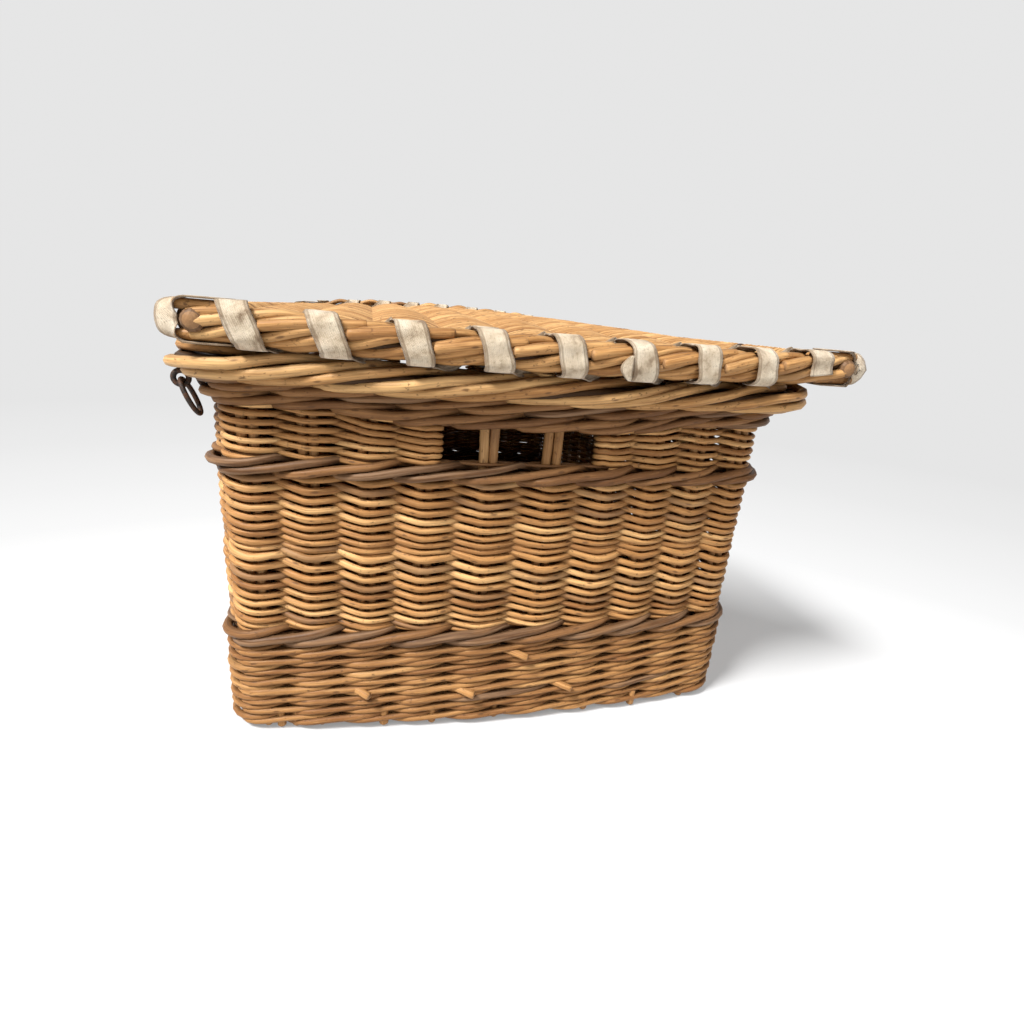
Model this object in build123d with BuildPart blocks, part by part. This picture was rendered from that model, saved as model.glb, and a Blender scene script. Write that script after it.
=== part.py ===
"""Willow laundry hamper with a hinged lid, in millimetres.

X runs along the hamper, the front is at -Y, the hinged back at +Y and the floor is Z = 0.
"""

import os
from math import asin, atan2, cos, degrees, radians, sin, sqrt

from build123d import *

os.makedirs("parts", exist_ok=True)

# Outside of the woven wall, which leans outwards a little on its way up
end_at_floor = 337.0
end_at_top = 346.0
side_at_floor = 223.0
side_at_top = 228.0
end_bow = 18.0
corner_radius = 26.0

# Rods of the wall
stake_diameter = 7.8
weaver_depth = 4.6
stake_slip = 0.15
pair_gap = 0.3
stake_foot = 8.0
border_cover = 6.0

# Columns of paired stakes, counted from the middle of each wall
window_stake = 25.0
window_edge_stake = 73.0
end_stake_pitch = 42.0
end_stake_columns = 4
side_stake_pitch = 43.0
side_stake_columns = 15

# Heights of the woven bands, from the floor up
foot_height = 78.0
lower_wale_height = 15.0
lower_siding_height = 67.0
middle_siding_height = 62.0
upper_wale_height = 11.0
window_height = 31.0
top_wale_height = 24.0
border_height = 22.0

# How far each kind of band stands out past the siding
foot_proud = 1.5
lower_wale_proud = 2.5
upper_wale_proud = 5.0
top_wale_proud = 7.0
border_proud = 22.0
border_shoulder = 16.0
border_round = 10.0
border_inner_round = 4.0

# Hand hole in each end
window_half_width = 63.0

# Woven base inside the foot of the wall
base_thickness = 20.0
base_ledge = 3.0
base_clearance = 0.3
base_stick_diameter = 10.0
base_stick_cover = 5.0

# Lid, which stands further back than the body
lid_set_back = 22.0
lid_half_width = 242.0
lid_half_length = 360.0
lid_bow = 20.0
edge_stick_diameter = 14.0
edge_stick_overhang = 12.0
lid_stick_diameter = 9.0
lid_stick_margin = 28.0
lid_stick_count = 9
lid_stick_bite = 10.0
lid_weave_thickness = 20.0
lid_ridge_width = 14.0
lid_dip_thickness = 7.2
lid_weaver_depth = 2.5
lid_edge_round = 6.0
rim_depth = 24.0
rim_height = 26.0
rim_round = 8.0
rim_past_stick = 7.0
rest_gap = 0.3

# Cloth tape bound round each end of the lid, and over each corner of it
tape_width = 19.0
tape_thickness = 1.5
tape_gap = 0.3
tape_front_lean = 8.0
tape_back_lean = 4.0
tape_corner_lean = 2.5
tape_turns = 9
corner_tape_reach = 5.0
corner_tape_leg = 16.0

# Iron loops that the lid's back stick turns in
hinge_wire = 4.0
hinge_slip = 0.4
hinge_spread = 215.0
hinge_anchor_out = 6.0
hinge_anchor_drop = 18.0
hinge_anchor_radius = 4.5
hinge_notch = 4.5

# Iron eye and hanging ring near each end of the front
eye_place = 318.0
eye_wire = 4.0
eye_radius = 5.0
eye_anchor_radius = 4.0
eye_out = 15.5
eye_anchor_out = 3.5
eye_drop = 27.0
ring_wire = 3.6
ring_radius = 13.0
ring_slip = 0.3

# Worked out from the sizes above
lower_siding_from = foot_height + lower_wale_height
middle_siding_from = lower_siding_from + lower_siding_height
upper_wale_from = middle_siding_from + middle_siding_height
window_sill = upper_wale_from + upper_wale_height
window_head = window_sill + window_height
border_from = window_head + top_wale_height
wall_height = border_from + border_height
wall = stake_diameter + 2 * weaver_depth
slot_width = stake_diameter + 2 * stake_slip
pair_half = (stake_diameter + pair_gap) / 2
stake_top = wall_height - border_cover
base_edge = wall - base_ledge
base_stick_height = base_thickness / 2
side_lean = (side_at_top - side_at_floor) / wall_height
end_lean = (end_at_top - end_at_floor) / wall_height
bow_arc = (side_at_floor**2 + end_bow**2) / (2 * end_bow)
end_columns = [window_stake] + [window_edge_stake + i * end_stake_pitch for i in range(end_stake_columns)]
end_columns = sorted([-y for y in end_columns] + end_columns)
last_side_column = side_stake_pitch * (side_stake_columns - 1) / 2
side_columns = [-last_side_column + i * side_stake_pitch for i in range(side_stake_columns)]
stake_mid = stake_diameter / 2 + weaver_depth

tape_skin = tape_gap + tape_thickness
rim_middle = wall_height + rest_gap + tape_skin + rim_height / 2
lid_arc = (lid_half_width**2 + lid_bow**2) / (2 * lid_bow)
lid_front = lid_set_back - lid_half_width
lid_back = lid_set_back + lid_half_width
lid_stick_pitch = 2 * (lid_half_width - lid_stick_margin) / (lid_stick_count - 1)
lid_sticks_across = [(i - (lid_stick_count - 1) / 2) * lid_stick_pitch for i in range(lid_stick_count)]
weave_edge = lid_half_width + edge_stick_diameter / 2 + lid_weaver_depth


def end_of_wall(across):
    """Outside of the wall's end at floor level, at a distance across from the middle."""
    return end_at_floor + end_bow - bow_arc + sqrt(bow_arc**2 - across**2)


def end_of_lid(across):
    """Middle of the lid's rim along X, at a distance across from the lid's middle."""
    return lid_half_length + lid_bow - lid_arc + sqrt(lid_arc**2 - across**2)


def plan(height, out):
    """Plan of the wall at a height, moved outwards by out."""
    side = side_at_floor + side_lean * height + out
    end = end_at_floor + end_lean * height + out
    with BuildSketch(Plane.XY.offset(height)) as outline:
        with BuildLine():
            ThreePointArc((end, -side), (end + end_bow, 0), (end, side))
            Line((end, side), (-end, side))
            ThreePointArc((-end, side), (-end - end_bow, 0), (-end, -side))
            Line((-end, -side), (end, -side))
        make_face()
        fillet(outline.vertices(), corner_radius + out)
    return outline.sketch


def lean_of(end, side):
    """Direction of a stake: end is 1, -1 or 0 for the near end, the far end or a side."""
    return (end * end_lean, side * side_lean, 1)


def rods_at(places, lean):
    """Pairs of stakes standing at the given places on the floor plan."""
    with BuildPart() as rods:
        with BuildSketch(Plane.XY.offset(stake_foot)):
            with Locations(*places):
                Circle(stake_diameter / 2)
        extrude(amount=(stake_top - stake_foot) * Vector(*lean).length, dir=lean)
    return rods.part


def slots_at(places, lean, turn):
    """Channels that one row of paired stakes leaves in the weave."""
    start = stake_foot - stake_slip
    with BuildPart() as slots:
        with BuildSketch(Plane.XY.offset(start)):
            with Locations(*places):
                Rectangle(2 * pair_half + slot_width, slot_width, rotation=turn)
        extrude(amount=(stake_top + stake_slip - start) * Vector(*lean).length, dir=lean)
    return slots.part


def end_places(columns, end):
    """Column centres on one end, on the plane where the stakes start."""
    rise = end_lean * stake_foot
    return [(end * (end_of_wall(y) - stake_mid + rise), y) for y in columns]


def side_places(side):
    """Column centres on one side, on the plane where the stakes start."""
    rise = side_lean * stake_foot
    return [(x, side * (side_at_floor - stake_mid + rise)) for x in side_columns]


def pairs(places, along_x):
    """Both stakes of each column, one step apart along the wall."""
    step = (pair_half, 0) if along_x else (0, pair_half)
    return [(x + k * step[0], y + k * step[1]) for x, y in places for k in (-1, 1)]


# Stakes, in pairs, with the two middle columns of each end on their own because they cross the hand hole
window_columns = [-window_stake, window_stake]
outer_columns = [y for y in end_columns if y not in window_columns]
for name, end in (("near", 1), ("far", -1)):
    for kind, columns in (("end_stakes", outer_columns), ("window_stakes", window_columns)):
        stakes = rods_at(pairs(end_places(columns, end), False), lean_of(end, 0))
        stakes.label = f"{name}_{kind}"
        export_step(stakes, f"parts/{name}_{kind}.step")
for name, side in (("front", -1), ("back", 1)):
    stakes = rods_at(pairs(side_places(side), True), lean_of(0, side))
    stakes.label = f"{name}_stakes"
    export_step(stakes, f"parts/{name}_stakes.step")

# Channels for all of them, which every band of the wall shares
with BuildPart() as stake_slots:
    for end in (1, -1):
        add(slots_at(end_places(end_columns, end), lean_of(end, 0), 90))
    for side in (-1, 1):
        add(slots_at(side_places(side), lean_of(0, side), 0))

# Base sticks run lengthwise between the columns of end stakes
base_stick_places = [(a + b) / 2 for a, b in zip(end_columns, end_columns[1:])]


def base_rods(grow):
    """Base sticks, grown by a clearance for the channels that they lie in."""
    with BuildPart() as rods:
        for y in base_stick_places:
            reach = end_of_wall(y) - base_stick_cover + grow
            with BuildSketch(Plane.YZ.offset(-reach)):
                with Locations((y, base_stick_height)):
                    Circle(base_stick_diameter / 2 + grow)
            extrude(amount=2 * reach)
    return rods.part


base_channels = base_rods(stake_slip)
base_sticks = base_rods(0)
base_sticks.label = "base_sticks"
export_step(base_sticks, "parts/base_sticks.step")

with BuildPart() as base_weave:
    loft([plan(0, -base_edge - base_clearance), plan(base_thickness, -base_edge - base_clearance)], ruled=True)
    add(base_channels, mode=Mode.SUBTRACT)
base_weave.part.label = "base_weave"
export_step(base_weave.part, "parts/base_weave.step")

# Foot of the wall, rebated for the base
with BuildPart() as foot_wale:
    loft([plan(0, foot_proud), plan(foot_height, foot_proud)], ruled=True)
    loft([plan(0, -wall), plan(foot_height, -wall)], ruled=True, mode=Mode.SUBTRACT)
    loft([plan(0, -base_edge), plan(base_thickness, -base_edge)], ruled=True, mode=Mode.SUBTRACT)
    add(stake_slots.part, mode=Mode.SUBTRACT)
    add(base_channels, mode=Mode.SUBTRACT)
foot_wale.part.label = "foot_wale"
export_step(foot_wale.part, "parts/foot_wale.step")


def band(levels):
    """One woven band of the wall: heights with how far the weave stands out at each."""
    foot, head = levels[0][0], levels[-1][0]
    with BuildPart() as ring:
        loft([plan(height, out) for height, out in levels], ruled=True)
        loft([plan(foot, -wall), plan(head, -wall)], ruled=True, mode=Mode.SUBTRACT)
        add(stake_slots.part, mode=Mode.SUBTRACT)
    return ring.part


def bulge(foot, head, out):
    """Levels of a wale: fullest in the middle of its height."""
    return [(foot, out / 2), ((foot + head) / 2, out), (head, out / 2)]


bands = {
    "lower_wale": bulge(foot_height, lower_siding_from, lower_wale_proud),
    "lower_siding": [(lower_siding_from, 0), (middle_siding_from, 0)],
    "middle_siding": [(middle_siding_from, 0), (upper_wale_from, 0)],
    "upper_wale": bulge(upper_wale_from, window_sill, upper_wale_proud),
}
for name, levels in bands.items():
    ring = band(levels)
    ring.label = name
    export_step(ring, f"parts/{name}.step")

# Siding beside the hand holes, which part it into a front run and a back run
siding = band([(window_sill, 0), (window_head, 0)])
window_reach = end_at_top + end_bow + border_proud
with BuildPart() as upper_siding:
    add(siding)
    with Locations((0, 0, (window_sill + window_head) / 2)):
        Box(2 * window_reach, 2 * window_half_width, window_head - window_sill, mode=Mode.SUBTRACT)
for name, run in zip(("upper_siding_front", "upper_siding_back"), upper_siding.solids().sort_by(Axis.Y)):
    with BuildPart() as siding_run:
        add(run)
    siding_run.part.label = name
    export_step(siding_run.part, f"parts/{name}.step")


def loop_route(along, held, held_radius, anchor, anchor_radius):
    """Closed line in a plane across X, bent round two centres given as (y, z)."""
    away = Vector(held[0] - anchor[0], held[1] - anchor[1])
    heading = degrees(atan2(away.Y, away.X))
    spread = degrees(asin((held_radius - anchor_radius) / away.length))
    with BuildLine(Plane.YZ.offset(along)) as line:
        outer = CenterArc(held, held_radius, heading - 90 - spread, 180 + 2 * spread)
        inner = CenterArc(anchor, anchor_radius, heading + 90 + spread, 180 - 2 * spread)
        Line(outer @ 1, inner @ 0)
        Line(inner @ 1, outer @ 0)
    return line.wire()


def wire_loop(route, thickness):
    """Round iron wire along a closed line."""
    with BuildPart() as loop:
        with BuildSketch(Plane(origin=route @ 0, z_dir=route % 0)):
            Circle(thickness / 2)
        sweep(path=route)
    return loop.part


# Iron loops, bent round what they hold and through the weave
hinge_anchor_height = wall_height - hinge_anchor_drop
eye_height = wall_height - eye_drop
stick_axis = (lid_back, rim_middle)
hinge_radius = edge_stick_diameter / 2 + hinge_slip + hinge_wire / 2
hinge_anchor = (side_at_floor + side_lean * hinge_anchor_height + hinge_anchor_out, hinge_anchor_height)
eye_wall = side_at_floor + side_lean * eye_height
eye_centre = (-eye_wall - eye_out, eye_height)
eye_anchor = (-eye_wall - eye_anchor_out, eye_height)
hinge_places = {"near": hinge_spread, "middle": 0.0, "far": -hinge_spread}
eye_places = {"near": eye_place, "far": -eye_place}
iron = []
for name, x in hinge_places.items():
    route = loop_route(x, stick_axis, hinge_radius, hinge_anchor, hinge_anchor_radius)
    iron.append((f"{name}_hinge_loop", route, hinge_wire))
for name, x in eye_places.items():
    route = loop_route(x, eye_centre, eye_radius, eye_anchor, eye_anchor_radius)
    iron.append((f"{name}_front_eye", route, eye_wire))
for name, route, thickness in iron:
    loop = wire_loop(route, thickness)
    loop.label = name
    export_step(loop, f"parts/{name}.step")
with BuildPart() as iron_channels:
    for _, route, thickness in iron:
        add(wire_loop(route, thickness + 2 * stake_slip))

# Rings hang in the eyes and swing about the wire that lies in the eye
ring_pivot = eye_height - eye_radius + eye_wire / 2 + ring_slip + ring_wire / 2
for name, x in eye_places.items():
    with BuildPart() as front_ring:
        with Locations(Location((x, eye_centre[0], ring_pivot - ring_radius), (90, 0, 0))):
            Torus(ring_radius, ring_wire / 2)
    front_ring.part.label = f"{name}_front_ring"
    export_step(front_ring.part, f"parts/{name}_front_ring.step")

# Top wale and border, which the iron passes through
border_levels = [
    (border_from, top_wale_proud),
    (border_from + border_round, border_proud),
    (wall_height - border_shoulder / 4, border_proud),
    (wall_height, border_shoulder),
]
crown = {
    "top_wale": [(window_head, 0), (border_from, top_wale_proud)],
    "border": border_levels,
}
for name, levels in crown.items():
    ring = band(levels)
    with BuildPart() as crown_ring:
        add(ring)
        add(iron_channels.part, mode=Mode.SUBTRACT)
        if name == "border":
            loft(
                [plan(wall_height - border_inner_round, -wall), plan(wall_height, border_inner_round - wall)],
                ruled=True,
                mode=Mode.SUBTRACT,
            )
    crown_ring.part.label = name
    export_step(crown_ring.part, f"parts/{name}.step")

# Sticks of the lid
stick_reach = lid_half_length + edge_stick_overhang


def lid_rod(across, reach, diameter):
    """Straight stick along X through the lid, at a distance across from its middle."""
    with BuildPart() as rod:
        with BuildSketch(Plane.YZ.offset(-reach)):
            with Locations((lid_set_back + across, rim_middle)):
                Circle(diameter / 2)
        extrude(amount=2 * reach)
    return rod.part


def inner_reach(across):
    """Half length of a lid stick, which ends inside the rims."""
    return end_of_lid(across) - rim_depth / 2 + lid_stick_bite


for name, across in (("lid_front_stick", -lid_half_width), ("lid_back_stick", lid_half_width)):
    stick = lid_rod(across, stick_reach, edge_stick_diameter)
    stick.label = name
    export_step(stick, f"parts/{name}.step")
with BuildPart() as lid_sticks:
    for across in lid_sticks_across:
        add(lid_rod(across, inner_reach(across), lid_stick_diameter))
lid_sticks.part.label = "lid_sticks"
export_step(lid_sticks.part, "parts/lid_sticks.step")
with BuildPart() as lid_channels:
    for across in lid_sticks_across:
        add(lid_rod(across, inner_reach(across) + stake_slip, lid_stick_diameter + 2 * stake_slip))
    for across in (-lid_half_width, lid_half_width):
        add(lid_rod(across, stick_reach + lid_bow, edge_stick_diameter + 2 * stake_slip))


def lid_plan(half_width, short):
    """Plan of the lid inside its two ends, each drawn short of the rim's middle by short."""
    end = end_of_lid(half_width) - short
    middle = end_of_lid(0) - short
    front, back = lid_set_back - half_width, lid_set_back + half_width
    with BuildSketch(Plane.XY) as outline:
        with BuildLine():
            ThreePointArc((end, front), (middle, lid_set_back), (end, back))
            Line((end, back), (-end, back))
            ThreePointArc((-end, back), (-middle, lid_set_back), (-end, front))
            Line((-end, front), (end, front))
        make_face()
    return outline.sketch


def dip_between(near_stick, far_stick):
    """Section of the dips that the weave has between two neighbouring sticks, on both faces of the lid."""
    width = far_stick - near_stick - lid_ridge_width
    middle = lid_set_back + (near_stick + far_stick) / 2
    with BuildSketch(Plane.YZ.offset(-stick_reach)) as dips:
        for face in (-1, 1):
            brink = rim_middle + face * lid_weave_thickness / 2
            floor = rim_middle + face * lid_dip_thickness / 2
            with BuildLine():
                Polyline(
                    (middle - width / 2, brink),
                    (middle - width / 4, floor),
                    (middle + width / 4, floor),
                    (middle + width / 2, brink),
                    close=True,
                )
            make_face()
    return dips.sketch


all_sticks_across = [-lid_half_width, *lid_sticks_across, lid_half_width]
with BuildPart() as lid_weave:
    with BuildSketch(Plane.XY.offset(rim_middle - lid_weave_thickness / 2)):
        add(lid_plan(weave_edge, rim_depth / 2 + tape_skin + 2 * tape_gap))
    extrude(amount=lid_weave_thickness)
    long_edges = lid_weave.edges().filter_by(Axis.X)
    fillet(long_edges, lid_edge_round)
    for near_stick, far_stick in zip(all_sticks_across, all_sticks_across[1:]):
        extrude(dip_between(near_stick, far_stick), amount=2 * stick_reach, mode=Mode.SUBTRACT)
    add(lid_channels.part, mode=Mode.SUBTRACT)
    notch_radius = hinge_radius + hinge_wire
    notch_reach = lid_back - hinge_anchor[0]
    for x in hinge_places.values():
        with BuildSketch(Plane.YZ.offset(x - hinge_notch)):
            with Locations((lid_back + notch_radius, rim_middle)):
                Rectangle(notch_radius + notch_reach, 2 * notch_radius, align=(Align.MAX, Align.CENTER))
        extrude(amount=2 * hinge_notch, mode=Mode.SUBTRACT)
lid_weave.part.label = "lid_weave"
export_step(lid_weave.part, "parts/lid_weave.step")

# Rim rods across each end of the lid, clamped round the ends of its edge sticks
rim_half_width = lid_half_width + rim_past_stick
with BuildPart() as rims:
    with BuildSketch(Plane.XY.offset(rim_middle - rim_height / 2)):
        add(lid_plan(rim_half_width, -rim_depth / 2))
        add(lid_plan(rim_half_width, rim_depth / 2), mode=Mode.SUBTRACT)
    extrude(amount=rim_height)
    rim_edges = rims.edges().filter_by(GeomType.CIRCLE)
    fillet(rim_edges, rim_round)
    add(lid_channels.part, mode=Mode.SUBTRACT)
for name, rim in zip(("far_lid_rim", "near_lid_rim"), rims.solids().sort_by(Axis.X)):
    with BuildPart() as lid_rim:
        add(rim)
    lid_rim.part.label = name
    export_step(lid_rim.part, f"parts/{name}.step")

# Tape wound round each rim, one unbroken strip that leans as it comes down the face of the rim
tape_depth = rim_depth / 2 + tape_gap
tape_half_height = rim_height / 2 + tape_gap
tape_cut = (rim_round + tape_gap) * (2 - sqrt(2))
tape_run = (lid_stick_pitch - tape_front_lean - tape_back_lean - 4 * tape_corner_lean) / 2
tape_section = [
    (tape_depth, tape_half_height - tape_cut, tape_front_lean),
    (tape_depth, tape_cut - tape_half_height, tape_corner_lean),
    (tape_depth - tape_cut, -tape_half_height, tape_run),
    (tape_cut - tape_depth, -tape_half_height, tape_corner_lean),
    (-tape_depth, tape_cut - tape_half_height, tape_back_lean),
    (-tape_depth, tape_half_height - tape_cut, tape_corner_lean),
    (tape_cut - tape_depth, tape_half_height, tape_run),
    (tape_depth - tape_cut, tape_half_height, tape_corner_lean),
]
tape_corner_angle = {0: 22.5, 1: -22.5, 2: -67.5, 3: -112.5, 4: -157.5, 5: 157.5, 6: 112.5, 7: 67.5}


def tape_stations():
    """Each bend of the strip: how far along the rim, its place round the rim and its outward angle."""
    along = lid_sticks_across[0] - tape_front_lean / 2
    stations = []
    for turn in range(tape_turns):
        last = turn == tape_turns - 1
        for k, (out, up, step) in enumerate(tape_section[:2] if last else tape_section):
            stations.append((along, out, up, tape_corner_angle[k]))
            along += step
    return stations


def tape_place(along, out, up, end):
    """Point on the strip's inner side, with the rim's direction there, for one end of the lid."""
    turn = along / lid_arc
    middle = lid_half_length + lid_bow - lid_arc
    radius = lid_arc + out
    point = Vector(end * (middle + radius * cos(turn)), lid_set_back + radius * sin(turn), rim_middle + up)
    return point, Vector(-end * sin(turn), cos(turn), 0), Vector(end * cos(turn), sin(turn), 0)


def tape_bend(along, out, up, angle, end):
    """Rectangle across the strip at one bend."""
    point, rim_way, outward = tape_place(along, out, up, end)
    lift = outward * cos(radians(angle)) + Vector(0, 0, 1) * sin(radians(angle))
    deep = tape_thickness / cos(radians(22.5))
    with BuildSketch(Plane(origin=point, x_dir=rim_way, z_dir=rim_way.cross(lift))) as bend:
        Rectangle(tape_width, deep, align=(Align.CENTER, Align.MIN))
    return bend.sketch


stations = tape_stations()
for name, end in (("near", 1), ("far", -1)):
    with BuildPart() as lid_tape:
        loft([tape_bend(*station, end) for station in stations], ruled=True)
    lid_tape.part.label = f"{name}_lid_tape"
    export_step(lid_tape.part, f"parts/{name}_lid_tape.step")

# Least gap of the winding to itself, between bends at least half a turn apart
edges = []
for along, out, up, _ in stations:
    sides = (along - tape_width / 2, along + tape_width / 2)
    edges.append([tape_place(side, out, up, 1)[0] for side in sides])
least = min(
    (a - b).length
    for i, first in enumerate(edges)
    for second in edges[i + 5 :]
    for a in first
    for b in second
)
print(f"least gap of the tape to itself {least - tape_thickness:.1f} mm")

# Strap of the same tape over each corner of the lid
strap_outer = rim_height / 2 + tape_skin
strap_inner = rim_height / 2 + tape_gap
for name, end in (("near", 1), ("far", -1)):
    for side_name, side in (("front", -1), ("back", 1)):
        turn_at = side * (lid_half_width + corner_tape_reach)
        leg = side * (lid_half_width - corner_tape_leg)
        with BuildPart() as corner_tape:
            with BuildSketch(Plane.YZ.offset(end * lid_half_length - tape_width / 2)):
                for radius, mode in ((strap_outer, Mode.ADD), (strap_inner, Mode.SUBTRACT)):
                    with Locations((lid_set_back + turn_at, rim_middle)):
                        Circle(radius, mode=mode)
                    with Locations((lid_set_back + (turn_at + leg) / 2, rim_middle)):
                        Rectangle(abs(turn_at - leg), 2 * radius, mode=mode)
            extrude(amount=tape_width)
        corner_tape.part.label = f"{name}_{side_name}_corner_tape"
        export_step(corner_tape.part, f"parts/{name}_{side_name}_corner_tape.step")
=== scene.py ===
"""Dresses a woven willow laundry hamper with a hinged lid, in metres.

X runs along the hamper, the front is at -Y, the hinged back at +Y and the floor is Z = 0.
"""

import logging
from dataclasses import dataclass, field
from enum import Enum
from functools import partial
from math import asin, cos, pi, radians, sin
from typing import Any

import bpy
import numpy as np
from mathutils import Matrix, Vector


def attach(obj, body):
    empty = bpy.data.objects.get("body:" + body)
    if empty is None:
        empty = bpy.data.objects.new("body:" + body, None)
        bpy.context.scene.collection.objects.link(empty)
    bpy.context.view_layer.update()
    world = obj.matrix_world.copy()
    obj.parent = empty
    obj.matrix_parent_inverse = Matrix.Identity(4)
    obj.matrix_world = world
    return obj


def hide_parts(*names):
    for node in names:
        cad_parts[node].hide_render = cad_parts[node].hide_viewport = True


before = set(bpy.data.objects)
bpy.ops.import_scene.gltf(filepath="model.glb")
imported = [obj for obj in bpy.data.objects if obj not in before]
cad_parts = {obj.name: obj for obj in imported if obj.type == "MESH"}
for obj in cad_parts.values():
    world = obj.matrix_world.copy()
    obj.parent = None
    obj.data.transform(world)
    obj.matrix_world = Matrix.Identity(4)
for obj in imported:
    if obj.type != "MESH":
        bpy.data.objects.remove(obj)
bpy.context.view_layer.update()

log = logging.getLogger("hamper")
Points = np.ndarray
Colour = tuple[float, float, float]
Direction = tuple[float, float, float]
Material = bpy.types.Material
Piece = bpy.types.Object
Socket = bpy.types.NodeSocket
Value = Socket | Colour | float
Inputs = dict[str | int, Value]
UPWARDS = np.array([0, 0, 1.0])


class Body(Enum):
    """Bodies that a piece can ride on."""

    BASKET = "basket"
    LID = "lid"
    NEAR_RING = "near_ring"
    FAR_RING = "far_ring"


class Slot(Enum):
    """Material slots, by name."""

    WILLOW = "willow"
    BROWN = "brown_willow"
    STICK = "stick_willow"
    TAPE = "cloth_tape"
    IRON = "iron"


def ease(value: Points) -> Points:
    """Smooth step from 0 to 1."""
    value = np.clip(value, 0.0, 1.0)
    return value * value * (3.0 - 2.0 * value)


def wander(rng: np.random.Generator, along: Points, amount: float, wave: float) -> Points:
    """Smooth wandering value along a rod.

    Args:
        rng: Source of the phases.
        along: Distance along the rod.
        amount: Typical size of the result.
        wave: Typical wavelength.

    Returns:
        One value for each distance.
    """
    stretches = (0.55, 0.9, 1.6)
    usual_peak = 1.7
    total = np.zeros(len(along))
    for stretch in stretches:
        total += np.sin(2 * pi * along / (wave * stretch) + rng.uniform(0, 2 * pi))
    return total * amount / usual_peak


def pick_shade(rng: np.random.Generator, middle: float, scatter: float) -> float:
    """Depth of colour of one rod, from 0 to 1, drawn about a middle one."""
    return float(np.clip(rng.normal(middle, scatter), 0, 1))


def unit(vectors: Points) -> Points:
    """Vectors brought to a length of one."""
    return vectors / np.linalg.norm(vectors, axis=1)[:, None]


def distances(path: Points) -> Points:
    """Distance of each point along a path."""
    return np.concatenate([[0], np.cumsum(np.linalg.norm(np.diff(path, axis=0), axis=1))])


def face_out(directions: Points, outwards: Points) -> Points:
    """Directions, turned round wherever they point against the outward ones."""
    return directions * np.where((directions * outwards).sum(1) < 0, -1, 1)[:, None]


# Meshes


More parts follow.
